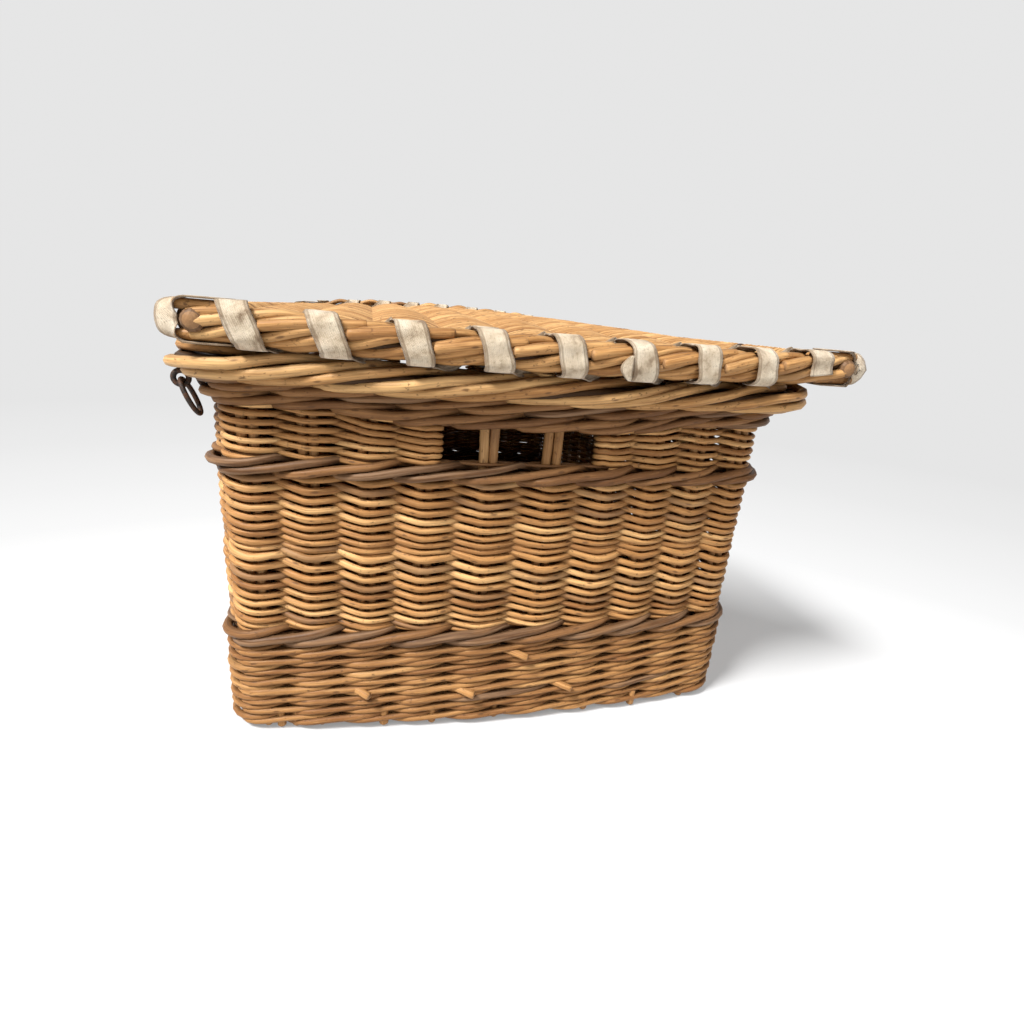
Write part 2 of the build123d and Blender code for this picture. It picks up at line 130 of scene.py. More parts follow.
class Bundle:
    """Rods and strips gathered into one mesh, each point with its place in the grain and its tone."""

    END_REACH = 0.3  # How far a blunt end stands past its path, in radii
    END_WIDTH = 0.74  # Width of the blunt end, as a share of the rod's
    TIP_REACH = 0.06  # How far the middle of a cut end stands out, in radii
    ROD_SHIFT = 3.17  # Shift of the grain along the rod, from one rod to the next
    LAYER_SHIFT = 0.71  # Shift of the grain through the wood, from one rod to the next
    STRIP_SHIFT = 2.3  # Shift of the weave along a strip, from one strip to the next
    PAINTED_GAP_SHADE = 0.45  # Strength of the painted shade in the gaps next to the stakes
    PAINTED_GAP_DEEP = 0.0050  # Distance from the stakes' line within which it lies
    PAINTED_GAP_FADE = 0.0050  # Distance over which it fades

    def __init__(self, sides: int = 8) -> None:
        """Starts an empty bundle.

        Args:
            sides: How many sides its rods have.
        """
        self.sides = sides
        self.points: list[Points] = []
        self.grain: list[Points] = []
        self.tone: list[Points] = []
        self.soil_and_shadow: list[Points] = []
        self.quads: list[Points] = []
        self.triangles: list[Points] = []
        self.count = 0
        self.rods = 0

    def keep(
        self,
        points: Points,
        grain: Points,
        tone: Points,
        soil_and_shadow: Points,
        quads: Points,
        triangles: Points,
    ) -> None:
        """Adds one closed form.

        Args:
            points: Its points.
            grain: Place of each point in the grain.
            tone: Shade, bark and cut end of each point.
            soil_and_shadow: How dark each point is, with dust and with painted shade.
            quads: Its faces of four corners, counted from its own first point.
            triangles: Its faces of three corners, counted in the same way.
        """
        self.points.append(points)
        self.soil_and_shadow.append(soil_and_shadow)
        self.grain.append(grain)
        self.tone.append(tone)
        self.quads.append(quads + self.count)
        self.triangles.append(triangles + self.count)
        self.count += len(points)
        self.rods += 1

    def rod(
        self,
        path: Points,
        radius: Points | float,
        shade: float,
        bark: float = 0.0,
        up: Direction = (0, 0, 1),
        flat: float = 1.0,
        cut: float = 1.0,
        soil_and_shadow: float = 0.0,
        painted_crevice_shade: float = 0.0,
        depth: Points | None = None,
    ) -> None:
        """Adds one rod with blunt ends.

        Args:
            path: Its middle line.
            radius: Its radius, or one for each point of the path.
            shade: How deep its colour is, from 0 to 1.
            bark: How much brown bark it keeps, from 0 to 1.
            up: A direction that is never along the rod.
            flat: Its thickness along up, as a share of its width.
            cut: How pale its cut ends are, from 0 to 1.
            soil_and_shadow: How dark it is all over, from 0 to 1: dust on some rods, painted shade on the
                dark cores and packing rods.
            painted_crevice_shade: Painted shade on its upper and lower sides, where it lies against other
                rods.
            depth: Distance of its middle line outwards from the stakes, for the painted shade in the gaps
                between them.
        """
        radius = np.broadcast_to(np.asarray(radius, float), (len(path),))
        way = unit(np.gradient(path, axis=0))
        first_end = path[0] - self.END_REACH * radius[0] * way[0]
        last_end = path[-1] + self.END_REACH * radius[-1] * way[-1]
        path = np.vstack([first_end, path, last_end])
        way = np.vstack([way[0], way, way[-1]])
        radius = np.concatenate([[self.END_WIDTH * radius[0]], radius, [self.END_WIDTH * radius[-1]]])
        side = unit(np.cross(way, np.asarray(up, float)))
        top = np.cross(side, way)
        turn = np.linspace(0, 2 * pi, self.sides, endpoint=False)
        spread = np.cos(turn)[None, :, None] * side[:, None]
        spread = spread + flat * np.sin(turn)[None, :, None] * top[:, None]
        rings = path[:, None] + radius[:, None, None] * spread
        along = distances(path)
        start = self.ROD_SHIFT * self.rods
        layer = self.LAYER_SHIFT * self.rods
        grain = np.stack(
            [
                np.repeat((along + start)[:, None], self.sides, 1),
                radius[:, None] * np.cos(turn)[None],
                radius[:, None] * np.sin(turn)[None] + layer,
            ],
            axis=2,
        )
        n = len(path)
        ends = np.zeros((n, self.sides))
        ends[0] = ends[-1] = cut
        tone = np.stack([np.full((n, self.sides), shade), np.full((n, self.sides), bark), ends], axis=2)
        first_tip = path[0] - self.TIP_REACH * radius[0] * way[0]
        last_tip = path[-1] + self.TIP_REACH * radius[-1] * way[-1]
        tips = np.array([first_tip, last_tip])
        tip_grain = np.array([[start, 0, layer], [start + along[-1], 0, layer]])
        tip_tone = np.array([[shade, bark, cut]] * 2)
        row = np.arange(n - 1)[:, None] * self.sides
        here = np.arange(self.sides)[None]
        there = (here + 1) % self.sides
        next_row = row + self.sides
        quads = np.stack([row + here, row + there, next_row + there, next_row + here], 2)
        last = (n - 1) * self.sides
        tip = np.full(self.sides, n * self.sides)
        first_fan = np.stack([tip, there[0], here[0]], 1)
        last_fan = np.stack([tip + 1, last + here[0], last + there[0]], 1)
        # Painted shade: the sides that lie against the rods above and below are darkened, and the whole rod
        # by its own share
        painted_shade_sides = ease((np.abs(np.sin(turn)) - 0.5) / 0.5)
        dust_and_shadow = soil_and_shadow + painted_crevice_shade * np.broadcast_to(painted_shade_sides, (n, self.sides))
        # Painted shade in the gaps next to the stakes' line, on the faces that lie near it
        if depth is not None:
            depth = np.concatenate([[depth[0]], depth, [depth[-1]]])
            outward = np.sign((side[:, :2] * path[:, :2]).sum(1))
            reach = depth[:, None] + radius[:, None] * np.cos(turn)[None] * outward[:, None]
            dust_and_shadow = dust_and_shadow + self.PAINTED_GAP_SHADE * ease((self.PAINTED_GAP_DEEP - np.abs(reach)) / self.PAINTED_GAP_FADE)
        dust_and_shadow = np.clip(dust_and_shadow, 0, 1)
        self.keep(
            np.vstack([rings.reshape(-1, 3), tips]),
            np.vstack([grain.reshape(-1, 3), tip_grain]),
            np.vstack([tone.reshape(-1, 3), tip_tone]),
            np.append(dust_and_shadow.ravel(), [soil_and_shadow, soil_and_shadow]),
            quads.reshape(-1, 4),
            np.vstack([first_fan, last_fan]),
        )

    def strip(
        self,
        middle: Points,
        across: Points,
        outward: Points,
        width: Points,
        thick: float,
        shade: float,
    ) -> None:
        """Adds one woven strip.

        Args:
            middle: Its middle line, on its outer face.
            across: Unit direction across it at each point.
            outward: Unit direction out of its face at each point.
            width: Its width at each point.
            thick: Its thickness.
            shade: How deep its colour is, from 0 to 1.
        """
        outer = np.array([-1.0, -0.92, -0.6, -0.2, 0.2, 0.6, 0.92, 1.0])
        turned_down = np.array([-0.5, -0.08, 0, 0, 0, 0, -0.08, -0.5])
        inner = np.array([0.92, 0.5, 0, -0.5, -0.92])
        n = len(middle)
        m = len(outer) + len(inner)
        along = distances(middle)
        places = np.concatenate([outer, inner])
        heights = np.concatenate([turned_down * thick, np.full(len(inner), -thick)])
        half = np.asarray(width)[:, None] / 2
        rings = (
            middle[:, None]
            + (half * places[None])[:, :, None] * across[:, None]
            + heights[None, :, None] * outward[:, None]
        )
        grain = np.stack(
            [
                np.repeat(along[:, None] + self.STRIP_SHIFT * self.rods, m, 1),
                half * places[None],
                np.broadcast_to(heights[None], (n, m)),
            ],
            axis=2,
        )
        edges = np.broadcast_to(np.abs(places)[None], (n, m))
        tone = np.stack([np.full((n, m), shade), edges, np.zeros((n, m))], 2)
        row = np.arange(n - 1)[:, None] * m
        here = np.arange(m)[None]
        there = (here + 1) % m
        quads = np.stack([row + here, row + m + here, row + m + there, row + there], 2).reshape(-1, 4)
        last = (n - 1) * m
        fan = [[0, k, k + 1] for k in range(1, m - 1)]
        fan += [[last, last + k + 1, last + k] for k in range(1, m - 1)]
        self.keep(
            rings.reshape(-1, 3),
            grain.reshape(-1, 3),
            tone.reshape(-1, 3),
            np.zeros(n * m),
            quads,
            np.array(fan),
        )

    def piece(self, name: str, material: Material, body: Body, slot: Slot, *nodes: str) -> Piece:
        """Makes the mesh and its object, dresses it and lets it ride.

        Args:
            name: Name of the piece.
            material: Its finish.
            body: Body that it rides on.
            slot: Material slot; not used.
            nodes: Solids that it stands for.

        Returns:
            The new object.
        """
        points = np.vstack(self.points)
        quads = np.vstack(self.quads)
        triangles = np.vstack(self.triangles)
        mesh = bpy.data.meshes.new(name)
        mesh.vertices.add(len(points))
        mesh.vertices.foreach_set("co", points.astype(np.float32).ravel())
        corners = np.concatenate([quads.ravel(), triangles.ravel()])
        mesh.loops.add(len(corners))
        mesh.loops.foreach_set("vertex_index", corners.astype(np.int32))
        quad_starts = 4 * np.arange(len(quads))
        triangle_starts = 4 * len(quads) + 3 * np.arange(len(triangles))
        starts = np.concatenate([quad_starts, triangle_starts])
        mesh.polygons.add(len(starts))
        mesh.polygons.foreach_set("loop_start", starts.astype(np.int32))
        mesh.polygons.foreach_set("use_smooth", np.ones(len(starts), bool))
        mesh.update(calc_edges=True)
        mesh.validate()
        for key, parts in (("grain", self.grain), ("tone", self.tone)):
            values = mesh.attributes.new(key, "FLOAT_VECTOR", "POINT")
            values.data.foreach_set("vector", np.vstack(parts).astype(np.float32).ravel())
        # Share of dust and of painted shade at each point
        values = mesh.attributes.new("soil_and_shadow", "FLOAT", "POINT")
        values.data.foreach_set("value", np.concatenate(self.soil_and_shadow).astype(np.float32))
        piece = bpy.data.objects.new(name, mesh)
        bpy.context.scene.collection.objects.link(piece)
        mesh.materials.append(material)
        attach(piece, body.value)
        if nodes:
            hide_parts(*nodes)
        log.info("%s: %d rods, %d faces", name, self.rods, 2 * len(quads) + len(triangles))
        return piece


# Finishes


class Board:
    """Node board of one material."""

    def __init__(self, name: str) -> None:
        """Starts a material with its shader and output.

        Args:
            name: Name of the material.
        """
        self.material = bpy.data.materials.new(name)
        self.material.use_nodes = True
        self.tree = self.material.node_tree
        self.tree.nodes.clear()
        self.output = self.tree.nodes.new("ShaderNodeOutputMaterial")
        self.shader = self.tree.nodes.new("ShaderNodeBsdfPrincipled")
        self.tree.links.new(self.shader.outputs[0], self.output.inputs[0])

    def node(self, kind: str, inputs: Inputs | None = None, **settings: Any) -> bpy.types.Node:
        """Adds a node, sets its properties, and links or sets its inputs.

        Args:
            kind: Kind of node.
            inputs: What goes into its inputs, by name or place.
            settings: Its properties.

        Returns:
            The node.
        """
        made = self.tree.nodes.new(kind)
        for key, value in settings.items():
            setattr(made, key, value)
        for key, value in (inputs or {}).items():
            self.feed(made.inputs[key], value)
        return made

    def feed(self, socket: Socket, value: Value) -> None:
        """Links a socket to an output, or sets it.

        Args:
            socket: The socket.
            value: An output, or the value itself.
        """
        if isinstance(value, Socket):
            self.tree.links.new(value, socket)
        else:
            socket.default_value = value

    def noise(self, vector: Socket, scale: float, detail: float = 3.0, rough: float = 0.55) -> Socket:
        """Output of a noise texture."""
        inputs = {"Vector": vector, "Scale": scale, "Detail": detail, "Roughness": rough}
        return self.node("ShaderNodeTexNoise", inputs).outputs["Fac"]

    def stretch(self, vector: Socket, scale: Direction) -> Socket:
        """Vector scaled by axis."""
        return self.node("ShaderNodeMapping", {"Vector": vector, "Scale": scale}).outputs[0]

    def grain(self) -> Socket:
        """Place of each point in the grain."""
        return self.node("ShaderNodeAttribute", attribute_name="grain").outputs["Vector"]

    def tone(self) -> bpy.types.bpy_prop_collection:
        """Shade, bark or place across, and cut end of each point."""
        tone = self.node("ShaderNodeAttribute", attribute_name="tone").outputs["Vector"]
        return self.node("ShaderNodeSeparateXYZ", {0: tone}).outputs

    def math(self, first: Value, operation: str, second: Value, third: Value | None = None) -> Socket:
        """Output of a math node."""
        inputs = {0: first, 1: second} | ({2: third} if third is not None else {})
        return self.node("ShaderNodeMath", inputs, operation=operation).outputs[0]

    def spread(self, value: Socket, low: float, high: float, to_low: float = 0, to_high: float = 1) -> Socket:
        """Value carried from one range to another, clamped."""
        inputs = {"Value": value, "From Min": low, "From Max": high, "To Min": to_low, "To Max": to_high}
        return self.node("ShaderNodeMapRange", inputs).outputs[0]

    def mix(self, share: Value, first: Value, second: Value) -> Socket:
        """Mixed colour.

        Args:
            share: Share of the second colour.
            first: Colour at a share of 0.
            second: Colour at a share of 1.

        Returns:
            The colour's output.
        """
        made = self.node("ShaderNodeMix", data_type="RGBA")
        self.feed(made.inputs[0], share)
        for socket, value in ((made.inputs[6], first), (made.inputs[7], second)):
            self.feed(socket, (*value, 1.0) if isinstance(value, tuple) else value)
        return made.outputs[2]

    def ramp(self, value: Socket, stops: list[tuple[float, Colour]]) -> Socket:
        """Colour from a ramp.

        Args:
            value: Place on the ramp.
            stops: Places and colours of the ramp.

        Returns:
            The colour's output.
        """
        made = self.node("ShaderNodeValToRGB", {"Fac": value})
        while len(made.color_ramp.elements) < len(stops):
            made.color_ramp.elements.new(0.5)
        for element, (place, colour) in zip(made.color_ramp.elements, stops):
            element.position = place
            element.color = (*colour, 1.0)
        return made.outputs[0]

    def bump(self, height: Socket, distance: float, strength: float = 1.0) -> None:
        """Adds a bump to the shader."""
        inputs = {"Height": height, "Distance": distance, "Strength": strength}
        self.feed(self.shader.inputs["Normal"], self.node("ShaderNodeBump", inputs).outputs[0])


@dataclass(frozen=True)
class WillowFinish:
    """Dry willow, from pale peeled rods to brown ones with the bark on."""

    name: str
    pale: Colour = (0.79, 0.475, 0.200)
    body: Colour = (0.50, 0.252, 0.088)
    deep: Colour = (0.25, 0.105, 0.034)
    bark: Colour = (0.120, 0.056, 0.024)
    grey_bark: Colour = (0.285, 0.165, 0.088)
    # Near black: dust, and painted shade in the gaps, cores and crevices
    dust_and_shadow: Colour = (0.022, 0.011, 0.005)
    smoothest: float = 0.39
    roughest: float = 0.60
    specular: float = 0.16
    relief: float = 0.0007

    def material(self) -> Material:
        """Builds the finish.

        Returns:
            The material.
        """
        board = Board(self.name)
        shade, barked, cut = board.tone()
        grain = board.grain()
        streaks = board.noise(board.stretch(grain, (22, 520, 520)), 1.0, 4.0)
        blotch = board.noise(board.stretch(grain, (28, 60, 60)), 1.0, 3.0)
        spots = board.noise(board.stretch(grain, (260, 420, 420)), 1.0, 2.0)
        rings = board.noise(board.stretch(grain, (700, 30, 30)), 1.0, 2.0)
        fibre = board.noise(board.stretch(grain, (60, 1500, 1500)), 1.0, 3.0)
        cells = {"Vector": board.stretch(grain, (55, 170, 170)), "Scale": 1.0}
        knots = board.node("ShaderNodeTexVoronoi", cells).outputs["Distance"]
        depth = board.math(shade, "MULTIPLY_ADD", 0.72, board.math(blotch, "MULTIPLY", 0.42))
        wood = board.ramp(depth, [(0.22, self.pale), (0.52, self.body), (0.92, self.deep)])
        wood = board.mix(board.spread(streaks, 0.40, 0.70, 0.0, 0.62), wood, self.deep)
        wood = board.mix(board.spread(fibre, 0.50, 0.70, 0.0, 0.38), wood, self.bark)
        wood = board.mix(board.spread(fibre, 0.30, 0.46, 0.34, 0.0), wood, self.pale)
        wood = board.mix(board.spread(spots, 0.63, 0.72, 0.0, 0.7), wood, self.bark)
        wood = board.mix(board.spread(knots, 0.10, 0.20, 0.75, 0.0), wood, self.bark)
        bark = board.mix(board.spread(streaks, 0.38, 0.62), self.bark, self.grey_bark)
        bark = board.mix(board.spread(blotch, 0.50, 0.70, 0.0, 0.4), bark, self.body)
        cover = board.math(barked, "MULTIPLY_ADD", 1.5, board.math(blotch, "MULTIPLY", 0.55))
        wood = board.mix(board.spread(cover, 0.62, 0.92), wood, bark)
        wood = board.mix(board.math(cut, "MULTIPLY", 0.55), wood, self.grey_bark)
        # Darkened towards near black by dust and by painted shade
        soil_and_shadow = board.node("ShaderNodeAttribute", attribute_name="soil_and_shadow").outputs["Fac"]
        wood = board.mix(board.math(soil_and_shadow, "MULTIPLY", 0.9), wood, self.dust_and_shadow)
        board.feed(board.shader.inputs["Base Color"], wood)
        rough = board.spread(streaks, 0.3, 0.7, self.smoothest, self.roughest)
        board.feed(board.shader.inputs["Roughness"], rough)
        board.feed(board.shader.inputs["Specular IOR Level"], self.specular)
        height = board.math(streaks, "MULTIPLY_ADD", 0.6, board.math(rings, "MULTIPLY", 0.25))
        height = board.math(spots, "MULTIPLY_ADD", 0.2, height)
        board.bump(height, self.relief, 0.8)
        return board.material


@dataclass(frozen=True)
class TapeFinish:
    """Worn cotton tape with a plain weave and dusty folds."""

    name: str = "Worn cotton tape"
    pale: Colour = (0.80, 0.69, 0.53)
    body: Colour = (0.62, 0.50, 0.355)
    dirt: Colour = (0.22, 0.145, 0.085)
    thread: float = 0.0013
    selvedge: float = 0.77
    roughness: float = 0.92
    specular: float = 0.1
    sheen: float = 0.25
    relief: float = 0.0006

    def material(self) -> Material:
        """Builds the finish.

        Returns:
            The material.
        """
        board = Board(self.name)
        grain = board.grain()
        sideways = board.tone()[1]
        axes = board.node("ShaderNodeSeparateXYZ", {0: grain}).outputs
        waves = []
        for axis in (0, 1):
            turned = board.math(axes[axis], "MULTIPLY", 2 * pi / self.thread)
            waves.append(board.math(turned, "SINE", 0.0))
        weave = board.math(waves[0], "MULTIPLY", waves[1])
        cloud = board.noise(board.stretch(grain, (90, 90, 90)), 1.0, 4.0)
        fuzz = board.noise(board.stretch(grain, (620, 620, 620)), 1.0, 3.0)
        cloth = board.ramp(cloud, [(0.34, self.pale), (0.56, self.body), (0.74, self.dirt)])
        cloth = board.mix(board.spread(weave, 0.0, 1.0, 0.0, 0.38), cloth, self.dirt)
        cloth = board.mix(board.spread(waves[1], 0.2, 1.0, 0.0, 0.18), cloth, self.dirt)
        rim = board.math(board.math(sideways, "SUBTRACT", self.selvedge), "ABSOLUTE", 0.0)
        cloth = board.mix(board.spread(rim, 0.03, 0.09, 0.6, 0.0), cloth, self.dirt)
        cloth = board.mix(board.spread(fuzz, 0.52, 0.72, 0.0, 0.5), cloth, self.dirt)
        edge = board.math(sideways, "MULTIPLY_ADD", 1.0, board.math(cloud, "MULTIPLY", 0.5))
        cloth = board.mix(board.spread(edge, 0.98, 1.2, 0.0, 0.8), cloth, self.dirt)
        board.feed(board.shader.inputs["Base Color"], cloth)
        board.feed(board.shader.inputs["Roughness"], self.roughness)
        board.feed(board.shader.inputs["Specular IOR Level"], self.specular)
        board.feed(board.shader.inputs["Sheen Weight"], self.sheen)
        board.feed(board.shader.inputs["Sheen Roughness"], 0.5)
        height = board.math(weave, "MULTIPLY_ADD", 0.25, board.math(fuzz, "MULTIPLY", 0.9))
        height = board.math(cloud, "MULTIPLY_ADD", 1.3, height)
        board.bump(height, self.relief, 0.9)
        return board.material


@dataclass(frozen=True)
class IronFinish:
    """Old iron wire, nearly black, with brown rust."""

    name: str = "Rusty iron"
    dark: Colour = (0.030, 0.022, 0.018)
    rust: Colour = (0.130, 0.055, 0.024)
    metallic: float = 0.35
    relief: float = 0.0006

    def material(self) -> Material:
        """Builds the finish.

        Returns:
            The material.
        """
        board = Board(self.name)
        place = board.node("ShaderNodeTexCoord").outputs["Object"]
        patches = board.noise(place, 240.0, 5.0, 0.65)
        pits = board.noise(place, 1400.0, 3.0, 0.6)
        iron = board.mix(board.spread(patches, 0.45, 0.68), self.dark, self.rust)
        board.feed(board.shader.inputs["Base Color"], iron)
        board.feed(board.shader.inputs["Roughness"], board.spread(patches, 0.3, 0.7, 0.42, 0.85))
        board.feed(board.shader.inputs["Metallic"], self.metallic)
        board.bump(board.math(pits, "MULTIPLY_ADD", 0.5, patches), self.relief, 0.8)
        return board.material


# The wall


@dataclass(frozen=True)
class WallSizes:
    """Outside of the woven wall and its columns of paired stakes."""

    height: float = 0.310
    end_at_floor: float = 0.337
    end_lean: float = 0.009 / height
    side_at_floor: float = 0.223
    side_lean: float = 0.005 / height
    end_bow: float = 0.018
    corner: float = 0.026
    stake_line: float = 0.0085
    stake_radius: float = 0.0039
    pair_half: float = 0.00405
    end_columns: tuple[float, ...] = (
        -0.199, -0.157, -0.115, -0.073, -0.025,
        0.025, 0.073, 0.115, 0.157, 0.199,
    )
    side_pitch: float = 0.043
    side_count: int = 15


class WallPath:
    """Carries a place given by column, height and depth onto the wall.

    Columns count to the right as seen from outside: 0 to 9 on the near end, then those of the back, of the
    far end and of the front.
    """

    BOW_STEPS = 500  # Steps along a bowed end
    BEND_STEPS = 60  # Steps round a corner
    SIDE_STEPS = 700  # Steps along a straight side
    PAST_END = 0.35  # Distance along X from which the nearest point of an end is sought
    PAST_SIDE = 0.215  # Distance along Y from which the nearest point of a side is sought

    def __init__(self, sizes: WallSizes) -> None:
        """Measures the wall's plan once.

        Args:
            sizes: Sizes of the wall.
        """
        self.sizes = sizes
        arc = (sizes.side_at_floor**2 + sizes.end_bow**2) / (2 * sizes.end_bow)
        inner = arc - sizes.corner
        centre = sizes.end_at_floor + sizes.end_bow - arc
        half = sizes.side_at_floor - sizes.corner
        turn = asin(half / inner)
        tip = centre + inner * cos(turn)
        runs = []
        for flip, facing in ((1, 0), (-1, pi)):
            bow = np.linspace(-turn, turn, self.BOW_STEPS)
            runs.append((flip * (centre + inner * np.cos(bow)), flip * inner * np.sin(bow), bow + facing))
            corner = np.full(self.BEND_STEPS, float(flip))
            bend = np.linspace(turn, pi / 2, self.BEND_STEPS)
            runs.append((corner * tip, corner * half, bend + facing))
            side = np.linspace(tip, -tip, self.SIDE_STEPS)
            straight = np.ones(self.SIDE_STEPS)
            runs.append((flip * side, flip * half * straight, (pi / 2 + facing) * straight))
            bend = np.linspace(pi / 2, pi - turn, self.BEND_STEPS)
            runs.append((-corner * tip, corner * half, bend + facing))
        self.x, self.y, self.angle = (np.concatenate([run[k] for run in runs]) for k in range(3))
        reach = sizes.corner - sizes.stake_line
        line = np.stack([self.x + reach * np.cos(self.angle), self.y + reach * np.sin(self.angle)], 1)
        self.along = distances(line)
        self.length = self.along[-1]
        last = sizes.side_pitch * (sizes.side_count - 1) / 2
        sides = last - sizes.side_pitch * np.arange(sizes.side_count)
        ends = np.array(sizes.end_columns)
        targets = [(self.PAST_END, y) for y in ends] + [(x, self.PAST_SIDE) for x in sides]
        targets += [(-x, -y) for x, y in targets]
        marks = [self.along[np.argmin(np.hypot(line[:, 0] - x, line[:, 1] - y))] for x, y in targets]
        self.count = len(marks)
        self.marks = np.array(marks + [marks[0] + self.length])

    def pitch(self) -> float:
        """Mean distance between columns."""
        return self.length / self.count

    def place(self, column: Points, height: Points, depth: Points) -> Points:
        """Points on the wall.

        Args:
            column: Column, with fractions between columns.
            height: Height above the floor.
            depth: Distance outwards from the stakes' middle line.

        Returns:
            One point for each column.
        """
        column = np.asarray(column, float)
        lap = np.floor(column / self.count)
        along = np.interp(column - lap * self.count, np.arange(self.count + 1), self.marks) % self.length
        x, y, angle = (np.interp(along, self.along, values) for values in (self.x, self.y, self.angle))
        across, up = np.cos(angle), np.sin(angle)
        reach = self.sizes.corner - self.sizes.stake_line + depth
        height = np.broadcast_to(height, column.shape)
        return np.stack(
            [
                x + across * (reach + self.sizes.end_lean * height),
                y + up * (reach + self.sizes.side_lean * height),
                height,
            ],
            axis=1,
        )


@dataclass(frozen=True)
class Wear:
    """How the worn hamper has sunk and its lid has warped."""

    middle: float = 0.022
    half_width: float = 0.242
    sink: float = 0.0048
    sink_from: float = 0.22
    sink_run: float = 0.13
    sink_above: float = 0.262
    sink_rise: float = 0.04
    half_length: float = 0.360
    arch: float = 0.040
    arch_fall: float = 0.026
    hole_half: float = 0.078
    hole_run: float = 0.07
    crown_foot: float = 0.2335
    crown_rise: float = 0.0305
    crown_top: float = 0.292
    crown_fall: float = 0.028
    crown: float = 0.008

    def _across(self, points: Points) -> Points:
        """Share from 0 at the front and back edges to 1 midway between them."""
        return np.clip(1 - ((points[:, 1] - self.middle) / self.half_width) ** 2, 0, 1)

    def settle(self, points: Points) -> Points:
        """Lets the border and the lid's rim sink a little in the middle of the near end.

        Args:
            points: Points of a rod.

        Returns:
            The sunk points.
        """
        end = ease((points[:, 0] - self.sink_from) / self.sink_run)
        up = ease((points[:, 2] - self.sink_above) / self.sink_rise)
        sunk = points.copy()
        sunk[:, 2] -= self.sink * self._across(points) * end * up
        return sunk

    def warp_lid(self, points: Points) -> Points:
        """Lets the lid sink at its near rim and arch towards its far one.

        Args:
            points: Points of a rod of the lid.

        Returns:
            The warped points.
        """
        back = np.clip((self.half_length - points[:, 0]) / (2 * self.half_length), 0, 1)
        arched = self.settle(points)
        arched[:, 2] += self._across(points) ** 0.8 * (self.arch * back - self.arch_fall * back**2)
        return arched

    def lift_crown(self, points: Points) -> Points:
        """Raises the foot of the top wale away from the hand holes, over which it dips.

        Args:
            points: Points of a rod.

        Returns:
            The raised points.
        """
        away = ease((np.abs(points[:, 1]) - self.hole_half) / self.hole_run)
        height = points[:, 2]
        share = np.clip((height - self.crown_foot) / self.crown_rise, 0, 1)
        share = share * np.clip((self.crown_top - height) / self.crown_fall, 0, 1)
        lifted = points.copy()
        lifted[:, 2] += self.crown * away * share
        return lifted


WORN = Wear()


def round_pair(swing: Points) -> Points:
    """Depth of a weaver, which is flat over a pair of stakes and straight between pairs.

    Args:
        swing: Cosine of its place between pairs.

    Returns:
        The depth, from -1 behind a pair to 1 in front of one.
    """
    flatness = 1.55
    share = 1 - np.arccos(np.clip(swing, -1, 1)) / (pi / 2)
    return np.tanh(flatness * share) / np.tanh(flatness)


@dataclass
class RandedSiding:
    """Siding of single rods, each begun one column on from the last and woven down to the right."""

    name: str
    bottom: float
    top: float
    levels: int
    seed: int
    butt: float = 0.0030
    tip: float = 0.0021
    head_room: float = 0.0040
    foot_room: float = 0.0024
    ease_off: float = 0.20
    press: float = 0.0003
    sway_out: float = 0.0003
    sway_up: float = 0.00035
    lead: float = 0.3
    tail: float = 0.15
    shade: float = 0.42
    barked: float = 0.05
    packing: float = 0.0019
    packing_pitch: float = 1.6
    packing_depth: float = -0.0012
    samples: int = 14

    def _pack(self, bundle: Bundle, wall: WallPath, rng: np.random.Generator) -> None:
        """Lays four thin rods in opposite steps along the foot of the band, so that no light comes through.

        Args:
            bundle: Bundle of the band.
            wall: Path of the wall.
            rng: Source of their sway.
        """
        step = np.linspace(0, wall.count, wall.count * self.samples)
        for row, shift in enumerate((0, 1, 0, 1)):
            depth = (wall.sizes.stake_radius + self.packing) * round_pair(np.cos(pi * (step + shift)))
            height = self.bottom + (row - 0.6) * self.packing_pitch * self.packing
            height = height + wander(rng, step, 0.0003, 2.2)
            bundle.rod(wall.place(step, height, depth + self.packing_depth), self.packing, 0.6, depth=depth)

    @staticmethod
    def _level(step: Points) -> Points:
        """How many rows a rod has sunk: in front it slopes down to the pair of stakes, then it runs level.

        Args:
            step: Columns that it has passed.

        Returns:
            The rows, with fractions.
        """
        passed = np.array([0.0, 0.5, 0.95, 1.05, 1.5, 2.0])
        sunk = np.array([-0.48, 0.0, 1.08, 1.10, 0.80, 1.52])
        margin = 20
        fine = np.linspace(0, 2, 4 * margin + 1)
        wave = np.interp(fine, passed, sunk) - fine
        repeated = np.concatenate([wave[-margin - 1 : -1], wave, wave[1 : margin + 1]])
        window = np.hanning(7)
        smooth = np.convolve(repeated, window / window.sum(), "same")[margin:-margin]
        return step + np.interp(step % 2, fine, smooth)

    def weave(self, wall: WallPath, finish: Material) -> Piece:
        """Weaves the whole band.

        Args:
            wall: Path of the wall.
            finish: Its willow.

        Returns:
            The piece.
        """
        rng = np.random.default_rng(self.seed)
        bundle = Bundle()
        last_front = self.levels - 1
        pitch = (self.top - self.bottom - self.head_room - self.foot_room) / (last_front - 1)
        for start in range(wall.count):
            step = np.linspace(-self.lead, self.levels + self.tail, self.levels * self.samples)
            level = self._level(step)
            share = np.clip((level - 1) / (last_front - 1), -0.1, 1.05)
            drop = self.head_room + pitch * (level - 1) * (1 + self.ease_off * (1 - share))
            radius = (self.butt + (self.tip - self.butt) * share) * rng.uniform(0.92, 1.08)
            radius = radius * (1 + wander(rng, step, 0.03, 3.0))
            depth = (wall.sizes.stake_radius + radius - self.press) * round_pair(-np.cos(pi * step))
            height = self.top - drop + wander(rng, step, self.sway_up, 2.2)
            path = wall.place(start + step, height, depth + wander(rng, step, self.sway_out, 1.7))
            shade = pick_shade(rng, self.shade, 0.2)
            bark = 0.35 if rng.random() < self.barked else 0.0
            bundle.rod(path, radius, shade, bark, depth=depth)
        self._pack(bundle, wall, rng)
        return bundle.piece(self.name, finish, Body.BASKET, Slot.WILLOW, self.name)


